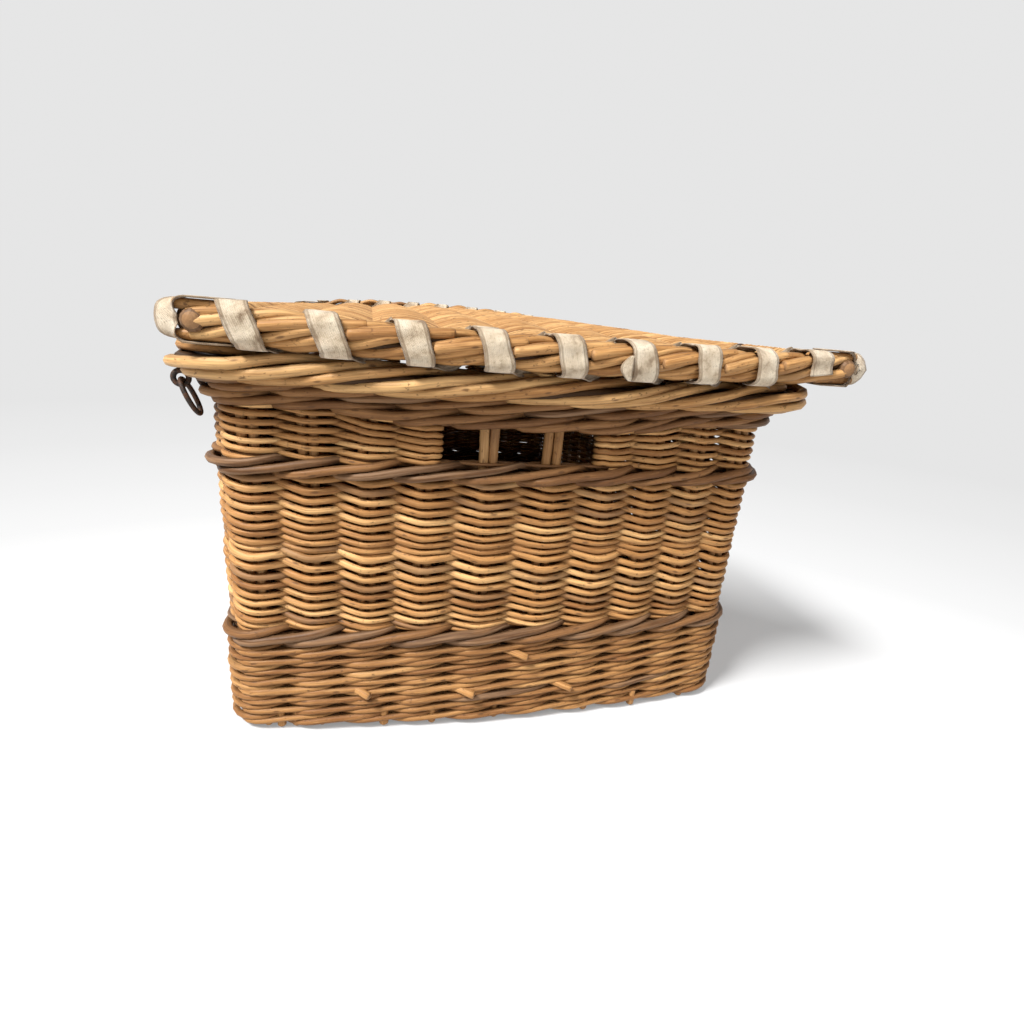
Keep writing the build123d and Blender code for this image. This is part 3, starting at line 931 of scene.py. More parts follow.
@dataclass
class TurnedSiding:
    """Siding beside the hand holes, whose rods turn back round the pair of stakes at each hole."""

    name: str
    first: int
    last: int
    seed: int
    bottom: float = 0.2315
    top: float = 0.2655
    rows: int = 13
    radius: float = 0.0022
    press: float = 0.0002
    sag: float = 0.0009
    slant: float = 0.0006
    shortest: int = 60
    joins: tuple[int, int] = (7, 14)
    join_overlap: int = 6
    samples: int = 10

    def weave(self, wall: WallPath, finish: Material) -> Piece:
        """Weaves the rows from hole to hole.

        Args:
            wall: Path of the wall.
            finish: Its willow.

        Returns:
            The piece.
        """
        rng = np.random.default_rng(self.seed)
        bundle = Bundle()
        pitch = (self.top - self.bottom) / self.rows
        swing = wall.sizes.stake_radius + self.radius - self.press
        past = wall.sizes.pair_half / wall.pitch()
        columns, heights, depths = [], [], []
        for row in range(self.rows):
            column = np.linspace(self.first, self.last, (self.last - self.first) * self.samples)
            if row % 2:
                column = column[::-1]
            phase = pi * (column + row)
            columns.append(column)
            depths.append(swing * round_pair(np.cos(phase)))
            sag = self.sag * (1 - np.arccos(np.cos(phase)) / (pi / 2))
            heights.append(self.bottom + pitch * (row + 0.5) - self.slant * np.sin(phase) - sag)
            if row == self.rows - 1:
                break
            edge, out = (self.last, 1) if row % 2 == 0 else (self.first, -1)
            sign = 1 if (edge + row) % 2 == 0 else -1
            turn = np.linspace(0.15, pi - 0.15, 9)
            columns.append(edge + out * (past + swing / wall.pitch() * np.sin(turn)))
            depths.append(sign * swing * np.cos(turn))
            heights.append(self.bottom + pitch * (row + 0.5 + (turn / pi)))
        column, height, depth = (np.concatenate(values) for values in (columns, heights, depths))
        cuts = [0]
        while cuts[-1] < len(column) - 1.5 * self.shortest:
            cuts.append(cuts[-1] + int(rng.integers(*self.joins)) * self.samples)
        cuts = [cut for cut in cuts if cut < len(column) - self.shortest] + [len(column)]
        steps = np.arange(len(column)) / self.samples
        depth = depth + wander(rng, steps, 0.0003, 1.9)
        height = height + wander(rng, steps, 0.00035, 2.3)
        for begin, end in zip(cuts, cuts[1:]):
            part = slice(begin, min(end + self.join_overlap, len(column)))
            taper = np.linspace(1.1, 0.86, part.stop - part.start) * rng.uniform(0.95, 1.06)
            path = WORN.lift_crown(wall.place(column[part], height[part], depth[part]))
            shade = pick_shade(rng, 0.40, 0.2)
            bundle.rod(path, self.radius * taper, shade, depth=depth[part])
        return bundle.piece(self.name, finish, Body.BASKET, Slot.WILLOW, self.name)


@dataclass
class Wale:
    """Rows of stout rods that pass in front of all but one column in each turn, like a rope on the wall."""

    name: str
    bottom: float
    top: float
    rows: int
    radius: float
    seed: int
    rods: int = 3
    push: tuple[float, float] = (0.0, 0.0)
    tilt: float = 0.4
    overlap: float = 0.0024
    shade: float = 0.6
    bark: float = 0.0
    brown: float = 0.0
    slot: Slot = Slot.WILLOW
    samples: int = 8
    seam: int = 17
    # Painted shade on the sides where the wale's rods lie against each other
    painted_crevice_shade: float = 0.65
    packing: float = 0.0013
    packing_depth: float = -0.0008

    def weave(self, wall: WallPath, finish: Material) -> Piece:
        """Lays the wale.

        Args:
            wall: Path of the wall.
            finish: Its willow.

        Returns:
            The piece.
        """
        rng = np.random.default_rng(self.seed)
        bundle = Bundle()
        total = self._total(wall)
        for strand in range(self.rods):
            begin = 0.0
            while begin < total:
                length = float(rng.integers(3, 7)) * self.rods
                end = min(begin + length, total)
                count = max(8, int((end - begin + 0.4) * self.samples))
                step = np.linspace(begin - 0.15, end + 0.25, count)
                self._rod(bundle, wall, rng, strand, step)
                begin = end
        self._pack(bundle, wall)
        return bundle.piece(self.name, finish, Body.BASKET, self.slot, self.name)

    def _pitch(self) -> float:
        """Height of one row."""
        return (self.top - self.bottom) / self.rows

    def _total(self, wall: WallPath) -> int:
        """Columns that all rows pass."""
        return self.rows * wall.count

    def _pack(self, bundle: Bundle, wall: WallPath) -> None:
        """Lays thin rods, darkened as painted shade, between the rows, so that no light comes through.

        Args:
            bundle: Bundle of the wale.
            wall: Path of the wall.
        """
        step = np.linspace(0, wall.count, wall.count * self.samples)
        for row in range(2 * self.rows + 1):
            first_lift = 0.3 * self.packing if row == 0 else 0
            height = np.full(len(step), self.bottom + self._pitch() * row / 2 + first_lift)
            for shift in (0, 1):
                swing = round_pair(np.cos(pi * (step + shift)))
                depth = (wall.sizes.stake_radius + self.packing) * swing + self.packing_depth
                path = WORN.settle(WORN.lift_crown(wall.place(step, height, depth)))
                bundle.rod(path, self.packing, 0.7, soil_and_shadow=0.35)

    def _rod(
        self,
        bundle: Bundle,
        wall: WallPath,
        rng: np.random.Generator,
        strand: int,
        step: Points,
    ) -> None:
        """Adds one rod of one strand.

        Args:
            bundle: Bundle of the wale.
            wall: Path of the wall.
            rng: Source of its sway and colour.
            strand: Strand that it belongs to.
            step: Columns that it passes, counted from the strand's start.
        """
        pitch = self._pitch()
        place = step % self.rods
        behind = np.minimum(place, self.rods - place)
        share = np.clip(step / self._total(wall), 0, 1)
        taper = rng.uniform(0.9, 1.1) * np.linspace(1.06, 0.9, len(step))
        radius = self.radius * taper * (1 + wander(rng, step, 0.03, 2.5))
        push = self.push[0] + (self.push[1] - self.push[0]) * share
        swing = round_pair(-np.cos(pi * np.minimum(behind, 1)))
        depth = (wall.sizes.stake_radius + radius) * swing + push * (0.5 + 0.5 * swing)
        front = self.rods - 1
        slope = np.where(
            (place > 0.5) & (place < self.rods - 0.5),
            2 * (place - 0.5) / front - 1,
            1 - 2 * ((place - self.rods + 0.5) % self.rods),
        )
        cover = np.clip(1 - (place - 0.5) / front, 0, 1)
        depth = depth + self.overlap * (cover - 0.4) * (0.5 + 0.5 * swing)
        lap = step / wall.count
        row = np.clip(np.floor(lap) + ease((lap - np.floor(lap) - 0.92) / 0.08), 0, self.rows - 1)
        height = self.bottom + pitch * (0.5 + row)
        height = height + self.tilt * pitch * slope + wander(rng, step, 0.0004, 2.1)
        bark = float(np.clip(self.bark + rng.normal(0, 0.22), 0, 1)) if rng.random() < self.brown else 0.0
        shade = pick_shade(rng, self.shade, 0.18)
        path = WORN.lift_crown(wall.place(self.seam + strand + step, height, depth))
        bundle.rod(WORN.settle(path), radius, shade, bark, painted_crevice_shade=self.painted_crevice_shade, depth=depth)


@dataclass
class RodEnds:
    """Cut ends of foot rods that stand out of the wall, and pegs of stakes under the foot."""

    places: tuple[tuple[float, float], ...] = (
        (2.08, 0.040),
        (4.00, 0.037),
        (4.86, 0.072),
        (5.78, 0.036),
    )
    other_ends: int = 9
    run: float = 0.6
    start: float = -0.003
    reach: float = 0.0165
    rise: float = 0.002
    fall: float = 0.0065
    radius: float = 0.0032
    near_pegs: tuple[float, ...] = (0.10, 0.36, 0.66, 1.15)
    other_pegs: int = 34
    peg_foot: float = 0.0016
    peg_top: float = 0.016
    seed: int = 45

    def set(self, wall: WallPath, finish: Material) -> Piece:
        """Sets the ends and the pegs.

        Args:
            wall: Path of the wall.
            finish: Their willow.

        Returns:
            The piece.
        """
        rng = np.random.default_rng(self.seed)
        bundle = Bundle(10)
        ends = list(self.places)
        ends += [(14 + 3.7 * k, float(rng.uniform(0.02, 0.07))) for k in range(self.other_ends)]
        for column, height in ends:
            share = np.linspace(0, 1, 10)
            run = column - self.run + self.run * share
            path = wall.place(run, height + self.rise - self.fall * share, self.start + self.reach * share)
            radius = self.radius * rng.uniform(0.85, 1.1)
            bundle.rod(path, radius, float(rng.uniform(0.3, 0.5)), painted_crevice_shade=0.3)
        pegs = list(self.near_pegs)
        pegs += [2.0 + 1.4 * k + float(rng.uniform(-0.4, 0.4)) for k in range(self.other_pegs)]
        for column in pegs:
            height = np.linspace(self.peg_foot + rng.uniform(0, 0.0014), self.peg_top, 6)
            path = wall.place(np.full(6, column), height, np.full(6, rng.uniform(0.002, 0.006)))
            radius = self.radius * rng.uniform(0.95, 1.25)
            bundle.rod(path, radius, float(rng.uniform(0.4, 0.8)), up=(0.3, 0.9, 0))
        return bundle.piece("foot_rod_ends", finish, Body.BASKET, Slot.WILLOW)


@dataclass
class RolledBorder:
    """Border of the stakes' own ends, each turned down and rolled along the crown over several columns."""

    name: str = "border"
    centre_depth: float = 0.0112
    centre_height: float = 0.2988
    half_depth: float = 0.0142
    half_height: float = 0.0086
    radius: float = 0.0040
    columns: float = 5.4
    turn_from: float = -160.0
    turn_by: float = 330.0
    shade: float = 0.12
    flares: tuple[tuple[float, float], ...] = ((9.6, 0.0115), (49.4, 0.004))
    flare_reach: float = 1.6
    core_radius: float = 0.0052
    core_drop: float = 0.001
    core_depths: tuple[float, ...] = (0.003, 0.011, 0.018)
    samples: int = 9
    seed: int = 41

    def weave(self, wall: WallPath, finish: Material) -> Piece:
        """Rolls the border.

        Args:
            wall: Path of the wall.
            finish: Its willow.

        Returns:
            The piece.
        """
        rng = np.random.default_rng(self.seed)
        bundle = Bundle()
        for start in range(wall.count):
            run = self.columns * rng.uniform(0.9, 1.12)
            step = np.linspace(0, run, int(run * self.samples))
            share = step / run
            turn = radians(self.turn_from) + radians(self.turn_by) * share
            radius = self.radius * rng.uniform(0.9, 1.1) * (1.06 - 0.26 * share)
            radius = radius * (1 + wander(rng, step, 0.02, 2.0))
            swell = 1 - 0.25 * ease(np.abs(share - 0.5) * 2 - 0.6)
            depth = self.centre_depth + self.half_depth * swell * np.cos(turn)
            depth = depth + self._flare(start + step, wall.count)
            height = self.centre_height + self.half_height * swell * np.sin(turn)
            height = height + wander(rng, step, 0.0004, 2.0)
            path = WORN.settle(wall.place(start + step, height, depth))
            shade = pick_shade(rng, self.shade, 0.2)
            bundle.rod(path, radius, shade, 0.4 if rng.random() < 0.12 else 0.0, painted_crevice_shade=0.65)
        # Near black core rods inside the roll: painted shade in its hollow
        around = np.linspace(0, wall.count, wall.count * 4)
        for depth in self.core_depths:
            out = depth + self._flare(around, wall.count)
            core = wall.place(around, self.centre_height - self.core_drop, out)
            bundle.rod(WORN.settle(core), self.core_radius, 0.8, soil_and_shadow=1.0)
        return bundle.piece(self.name, finish, Body.BASKET, Slot.WILLOW, self.name)

    def _flare(self, column: Points, count: int) -> Points:
        """How much further out the border lies where it has spread at the two near corners.

        Args:
            column: Places along the wall.
            count: Columns of the whole wall.

        Returns:
            The distance at each place.
        """
        total = np.zeros(len(column))
        for corner, reach in self.flares:
            away = np.abs((column - corner + count / 2) % count - count / 2)
            total += reach * ease(1 - away / self.flare_reach)
        return total


@dataclass
class Stakes:
    """Upright stakes, in pairs, which stand free in the hand holes."""

    bottom: float = 0.0085
    top: float = 0.2995
    sway: float = 0.0002
    free_sway: float = 0.0005
    barked: tuple[int, int] = (4, 1)
    samples: int = 24
    seed: int = 7
    groups: tuple[tuple[str, tuple[int, ...]], ...] = (
        ("near_end_stakes", (0, 1, 2, 3, 6, 7, 8, 9)),
        ("near_window_stakes", (4, 5)),
        ("back_stakes", tuple(range(10, 25))),
        ("far_end_stakes", (25, 26, 27, 28, 31, 32, 33, 34)),
        ("far_window_stakes", (29, 30)),
        ("front_stakes", tuple(range(35, 50))),
    )

    def stand(self, wall: WallPath, finish: Material) -> list[Piece]:
        """Stands every group of stakes.

        Args:
            wall: Path of the wall.
            finish: Their willow.

        Returns:
            The pieces.
        """
        rng = np.random.default_rng(self.seed)
        pieces = []
        for name, columns in self.groups:
            free = "window" in name
            bundle = Bundle(12 if free else 8)
            sway = self.free_sway if free else self.sway
            for column in columns:
                for side in (-1, 1):
                    height = np.linspace(self.bottom, self.top, self.samples)
                    gap = wall.sizes.pair_half / (wall.marks[column + 1] - wall.marks[column])
                    offset = side * gap + wander(rng, height, sway, 0.2) / wall.pitch()
                    path = wall.place(column + offset, height, wander(rng, height, sway, 0.3))
                    taper = np.linspace(1.0, 0.94, self.samples)
                    radius = wall.sizes.stake_radius * (1 + wander(rng, height, 0.03, 0.12)) * taper
                    shade = pick_shade(rng, 0.45, 0.15)
                    bark = 0.32 if (column, side) == self.barked else 0.0
                    bundle.rod(path, radius, shade, bark, up=(0.3, 0.9, 0))
            pieces.append(bundle.piece(name, finish, Body.BASKET, Slot.STICK, name))
        return pieces


@dataclass
class Base:
    """Woven base: sticks lengthwise, and weavers across them."""

    height: float = 0.010
    stick_radius: float = 0.005
    weaver_radius: float = 0.0024
    stick_room: float = 0.0105
    end_room: float = 0.0145
    half_width: float = 0.207
    pitch: float = 0.0038
    press: float = 0.0004
    flat: float = 1.5
    seed: int = 11

    @staticmethod
    def _end(wall: WallPath, across: Points | float) -> Points | float:
        """Distance from the middle to the wall's bowed end, at a distance across."""
        sizes = wall.sizes
        return sizes.end_at_floor + sizes.end_bow * (1 - (across / sizes.side_at_floor) ** 2)

    def sticks(self, wall: WallPath) -> list[float]:
        """Places of the sticks across the base, midway between the columns of end stakes."""
        ends = wall.sizes.end_columns
        return [(a + b) / 2 for a, b in zip(ends, ends[1:])]

    def weave(self, wall: WallPath, finish: Material, stick_finish: Material) -> list[Piece]:
        """Weaves the base.

        Args:
            wall: Path of the wall.
            finish: Willow of its weavers.
            stick_finish: Willow of its sticks.

        Returns:
            The pieces.
        """
        rng = np.random.default_rng(self.seed)
        rods = Bundle(10)
        places = self.sticks(wall)
        for across in places:
            reach = self._end(wall, across) - self.stick_room
            along = np.linspace(-reach, reach, 40)
            sway = wander(rng, along, 0.0006, 0.3)
            path = np.stack([along, across + sway, np.full(40, self.height)], 1)
            rods.rod(path, self.stick_radius * rng.uniform(0.92, 1.0), float(rng.uniform(0.4, 0.8)))
        sticks = rods.piece("base_sticks", stick_finish, Body.BASKET, Slot.STICK, "base_sticks")
        weavers = Bundle(6)
        marks = np.array([-self.half_width, *places, self.half_width])
        lift = self.stick_radius + self.weaver_radius - self.press
        rows = int(2 * (self._end(wall, 0.0) - self.end_room) / self.pitch)
        for row in range(rows):
            step = np.linspace(0, len(marks) - 1, 66)
            across = np.interp(step, np.arange(len(marks)), marks)
            along = (2 * (row + 0.5) / rows - 1) * (self._end(wall, across) - self.end_room)
            sign = 1 if row % 2 else -1
            ends_low = np.where((step < 1) | (step > len(marks) - 2), 0.4, 1)
            rise = lift * sign * round_pair(np.cos(pi * step)) * ends_low
            lean = 0.0004 * np.sin(pi * step) * sign
            path = np.stack([along + lean + wander(rng, step, 0.0003, 3.0), across, self.height + rise], 1)
            radius = self.weaver_radius * rng.uniform(0.9, 1.08)
            shade = pick_shade(rng, 0.55, 0.18)
            weavers.rod(path, radius, shade, up=(1, 0, 0), flat=self.flat, painted_crevice_shade=0.6)
        weave = weavers.piece("base_weave", finish, Body.BASKET, Slot.WILLOW, "base_weave")
        return [sticks, weave]


# The lid


@dataclass(frozen=True)
class LidSizes:
    """Plan and section of the lid."""

    set_back: float = 0.022
    half_width: float = 0.242
    half_length: float = 0.360
    bow: float = 0.020
    middle: float = 0.3251
    edge_radius: float = 0.007
    edge_reach: float = 0.372
    stick_radius: float = 0.0045
    stick_pitch: float = 0.0535
    stick_count: int = 9
    rim_depth: float = 0.024
    rim_height: float = 0.026
    hinge_places: tuple[float, ...] = (-0.215, 0.0, 0.215)

    def arc(self) -> float:
        """Radius of the bowed ends."""
        return (self.half_width**2 + self.bow**2) / (2 * self.bow)

    def end(self, across: Points | float) -> Points:
        """Middle of the rim along X, at a distance across from the lid's middle."""
        return self.half_length + self.bow - self.arc() + np.sqrt(self.arc() ** 2 - np.asarray(across) ** 2)

    def stick_places(self) -> Points:
        """Distances of the lid sticks across from the lid's middle."""
        return (np.arange(self.stick_count) - (self.stick_count - 1) / 2) * self.stick_pitch

    def rim_place(self, along: Points, out: Points, up: Points, end: int) -> tuple[Points, Points, Points]:
        """Place by the rim.

        Args:
            along: Distance along the rim from its middle.
            out: Distance outwards from the rim's middle line.
            up: Height above the rim's middle.
            end: 1 for the near end, -1 for the far end.

        Returns:
            Points, direction of the rim there and direction outwards.
        """
        turn = np.asarray(along) / self.arc()
        radius = self.arc() + np.asarray(out)
        centre = self.half_length + self.bow - self.arc()
        flat = np.zeros_like(turn)
        x = end * (centre + radius * np.cos(turn))
        y = self.set_back + radius * np.sin(turn)
        points = np.stack([x, y, self.middle + up + flat], 1)
        way = np.stack([-end * np.sin(turn), np.cos(turn), flat], 1)
        outward = np.stack([end * np.cos(turn), np.sin(turn), flat], 1)
        return points, way, outward


@dataclass
class LidPanel:
    """Sticks and weave of the lid."""

    sizes: LidSizes = field(default_factory=LidSizes)
    weaver_radius: float = 0.00225
    press: float = 0.0003
    flat: float = 1.48
    shade: float = 0.27
    rows: int = 208
    end_room: float = 0.013
    notch_half: float = 0.0062
    wrap_steps: int = 8
    wrap_from: float = 215.0
    cap_length: float = 0.020
    cap_lift: float = 0.0003
    seed: int = 23

    def sticks(self, finish: Material) -> list[Piece]:
        """Lays the two edge sticks and the lid sticks.

        Args:
            finish: Their willow.

        Returns:
            The pieces.
        """
        rng = np.random.default_rng(self.seed)
        lid = self.sizes
        pieces = []
        for name, side in (("lid_front_stick", -1), ("lid_back_stick", 1)):
            bundle = Bundle(14)
            across = lid.set_back + side * lid.half_width
            along = np.linspace(-lid.edge_reach + 0.002, lid.edge_reach - 0.002, 60)
            path = np.stack([along, np.full(60, across), np.full(60, lid.middle)], 1)
            radius = lid.edge_radius * (0.985 + wander(rng, along, 0.012, 0.12))
            bundle.rod(path, radius, 0.55, 0.1)
            for end in (-1, 1):
                reach = end * np.linspace(lid.edge_reach - self.cap_length, lid.edge_reach - 0.0022, 6)
                cap = np.stack([reach, np.full(6, across), np.full(6, lid.middle)], 1)
                bundle.rod(cap, lid.edge_radius + self.cap_lift, 0.95, 0.7, soil_and_shadow=0.35)
            pieces.append(bundle.piece(name, finish, Body.LID, Slot.STICK, name))
        bundle = Bundle()
        for across in lid.stick_places():
            reach = float(lid.end(across)) - 0.003
            along = np.linspace(-reach, reach, 50)
            sway = wander(rng, along, 0.0006, 0.3)
            path = np.stack([along, lid.set_back + across + sway, np.full(50, lid.middle)], 1)
            radius = lid.stick_radius * rng.uniform(0.9, 1.0)
            bundle.rod(WORN.warp_lid(path), radius, float(rng.uniform(0.35, 0.7)))
        pieces.append(bundle.piece("lid_sticks", finish, Body.LID, Slot.STICK, "lid_sticks"))
        return pieces

    def weave(self, finish: Material) -> Piece:
        """Weaves the panel, each weaver turned round both edge sticks.

        Args:
            finish: Its willow.

        Returns:
            The piece.
        """
        rng = np.random.default_rng(self.seed + 1)
        lid = self.sizes
        bundle = Bundle(6)
        for row in range(self.rows):
            share = 2 * (row + 0.5) / self.rows - 1
            sign = 1 if row % 2 else -1
            middle_place = share * (lid.half_length - self.end_room)
            notched = any(abs(middle_place - place) < self.notch_half for place in lid.hinge_places)
            step, across, rise = self._line(sign, notched)
            reach = lid.end(np.clip(across, -lid.half_width, lid.half_width)) - self.end_room
            lean = 0.0004 * sign * np.sin(pi * step)
            path = np.stack(
                [
                    share * reach + lean + wander(rng, step, 0.00025, 3.3),
                    lid.set_back + across,
                    lid.middle + rise,
                ],
                axis=1,
            )
            shade = pick_shade(rng, self.shade, 0.17)
            radius = self.weaver_radius * rng.uniform(0.88, 1.06)
            bundle.rod(WORN.warp_lid(path), radius, shade, up=(1, 0, 0), flat=self.flat, painted_crevice_shade=0.6)
        return bundle.piece("lid_weave", finish, Body.LID, Slot.WILLOW, "lid_weave")

    def _line(self, sign: int, notched: bool) -> tuple[Points, Points, Points]:
        """Line of one weaver, from its turn round the front edge stick to the one round the back stick.

        Args:
            sign: 1 where it starts above the front edge stick, -1 where it starts below.
            notched: Whether it stops short of the back stick, at a hinge loop.

        Returns:
            Sticks passed, distance across the lid and height above its middle.
        """
        lid = self.sizes
        marks = np.array([-lid.half_width, *lid.stick_places(), lid.half_width])
        last = len(marks) - 1
        wrap = lid.edge_radius + self.weaver_radius
        over = lid.stick_radius + self.weaver_radius - self.press
        step = np.linspace(0.0, last - 1 if notched else last, 61)
        across = np.interp(step, np.arange(last + 1), marks)
        edge = ease(1 - np.minimum(step, last - step))
        rise = sign * (over + (wrap - over) * edge) * round_pair(np.cos(pi * step))
        angle = np.linspace(radians(self.wrap_from), radians(90), self.wrap_steps + 1)[:-1]
        step = np.concatenate([np.zeros(self.wrap_steps), step])
        across = np.concatenate([-lid.half_width + wrap * np.cos(angle), across])
        rise = np.concatenate([sign * wrap * np.sin(angle), rise])
        if not notched:
            angle = angle[::-1]
            back = sign if last % 2 == 0 else -sign
            step = np.concatenate([step, np.full(self.wrap_steps, last)])
            across = np.concatenate([across, lid.half_width + wrap * np.cos(pi - angle)])
            rise = np.concatenate([rise, back * wrap * np.sin(angle)])
        return step, across, rise


@dataclass
class LidRim:
    """Rim of bent rods across one end of the lid, laid like a rope."""

    name: str
    end: int
    seed: int
    sizes: LidSizes = field(default_factory=LidSizes)
    bulge: float = 0.0
    radius: float = 0.0038
    reach: float = 0.246
    wraps: int = 9
    run_on: float = 0.10
    turn_from: float = -150.0
    turn_by: float = 290.0
    waist: float = 0.17
    core_radius: float = 0.0038
    core_shift: float = 0.003
    end_radius: float = 0.0036
    end_outs: tuple[float, float] = (0.003, -0.005)
    end_up: float = 0.0092

    def lay(self, finish: Material) -> Piece:
        """Lays the rods.

        Args:
            finish: Their willow.

        Returns:
            The piece.
        """
        rng = np.random.default_rng(self.seed)
        lid = self.sizes
        bundle = Bundle(10)
        half_depth = lid.rim_depth / 2 - self.radius
        half_height = lid.rim_height / 2 - self.radius
        start = -self.reach - self.run_on
        while start < self.reach - 0.02:
            length = rng.uniform(0.15, 0.19)
            share = np.linspace(0, 1, 44)
            along = start + length * share
            turn = radians(self.turn_from) + radians(self.turn_by) * share
            radius = self.radius * rng.uniform(0.86, 1.06) * (1.06 - 0.2 * share)
            bound = 1 - self.waist * np.cos(pi * along / lid.stick_pitch) ** 2
            out = bound * half_depth * np.cos(turn)
            up = bound * half_height * np.sin(turn) + wander(rng, share, 0.0005, 0.6)
            up += self.bulge * np.sin(pi * along / lid.stick_pitch) ** 2
            keep = (along > -self.reach) & (along < self.reach)
            if keep.sum() > 6:
                points = lid.rim_place(along[keep], out[keep], up[keep], self.end)[0]
                shade = pick_shade(rng, 0.30, 0.2)
                bark = 0.3 if rng.random() < 0.15 else 0.0
                bundle.rod(WORN.warp_lid(points), radius[keep], shade, bark, painted_crevice_shade=0.5)
            start += rng.uniform(0.025, 0.032)
        for wrap in range(self.wraps - 1):
            first = (wrap - (self.wraps - 1) / 2) * lid.stick_pitch + rng.uniform(0.012, 0.016)
            share = np.linspace(0, 1, 24)
            turn = radians(rng.uniform(-12, 25)) + radians(rng.uniform(55, 80)) * share
            lift = 0.0016 * (1 - ease(share * 1.4))
            out = (half_depth + lift) * np.cos(turn)
            up = (half_height + lift) * np.sin(turn)
            points = lid.rim_place(first + rng.uniform(0.058, 0.072) * share, out, up, self.end)[0]
            shade = pick_shade(rng, 0.3, 0.15)
            bundle.rod(WORN.warp_lid(points), self.radius * rng.uniform(0.95, 1.1), shade, painted_crevice_shade=0.45)
        # Near black core rods inside the rim: painted shade in its hollow
        along = np.linspace(-self.reach + 0.004, self.reach - 0.004, 60)
        for out, up in ((-1, -1), (1, 1), (-1, 1), (1, -1)):
            points = self._straight(along, out * self.core_shift, up * self.core_shift)
            bundle.rod(WORN.warp_lid(points), self.core_radius, 0.75, soil_and_shadow=1.0)
        for side in (-1, 1):
            along = side * np.linspace(self.reach - 0.03, self.reach + 0.008, 10)
            for up in (self.end_up, -self.end_up):
                for out in self.end_outs:
                    points = self._straight(along, out, up)
                    bundle.rod(points, self.end_radius, float(rng.uniform(0.3, 0.8)), soil_and_shadow=0.15, painted_crevice_shade=0.3)
        return bundle.piece(self.name, finish, Body.LID, Slot.WILLOW, self.name)

    def _straight(self, along: Points, out: float, up: float) -> Points:
        """Points of a rod that runs beside the rim's middle line."""
        return self.sizes.rim_place(along, np.full(len(along), out), np.full(len(along), up), self.end)[0]


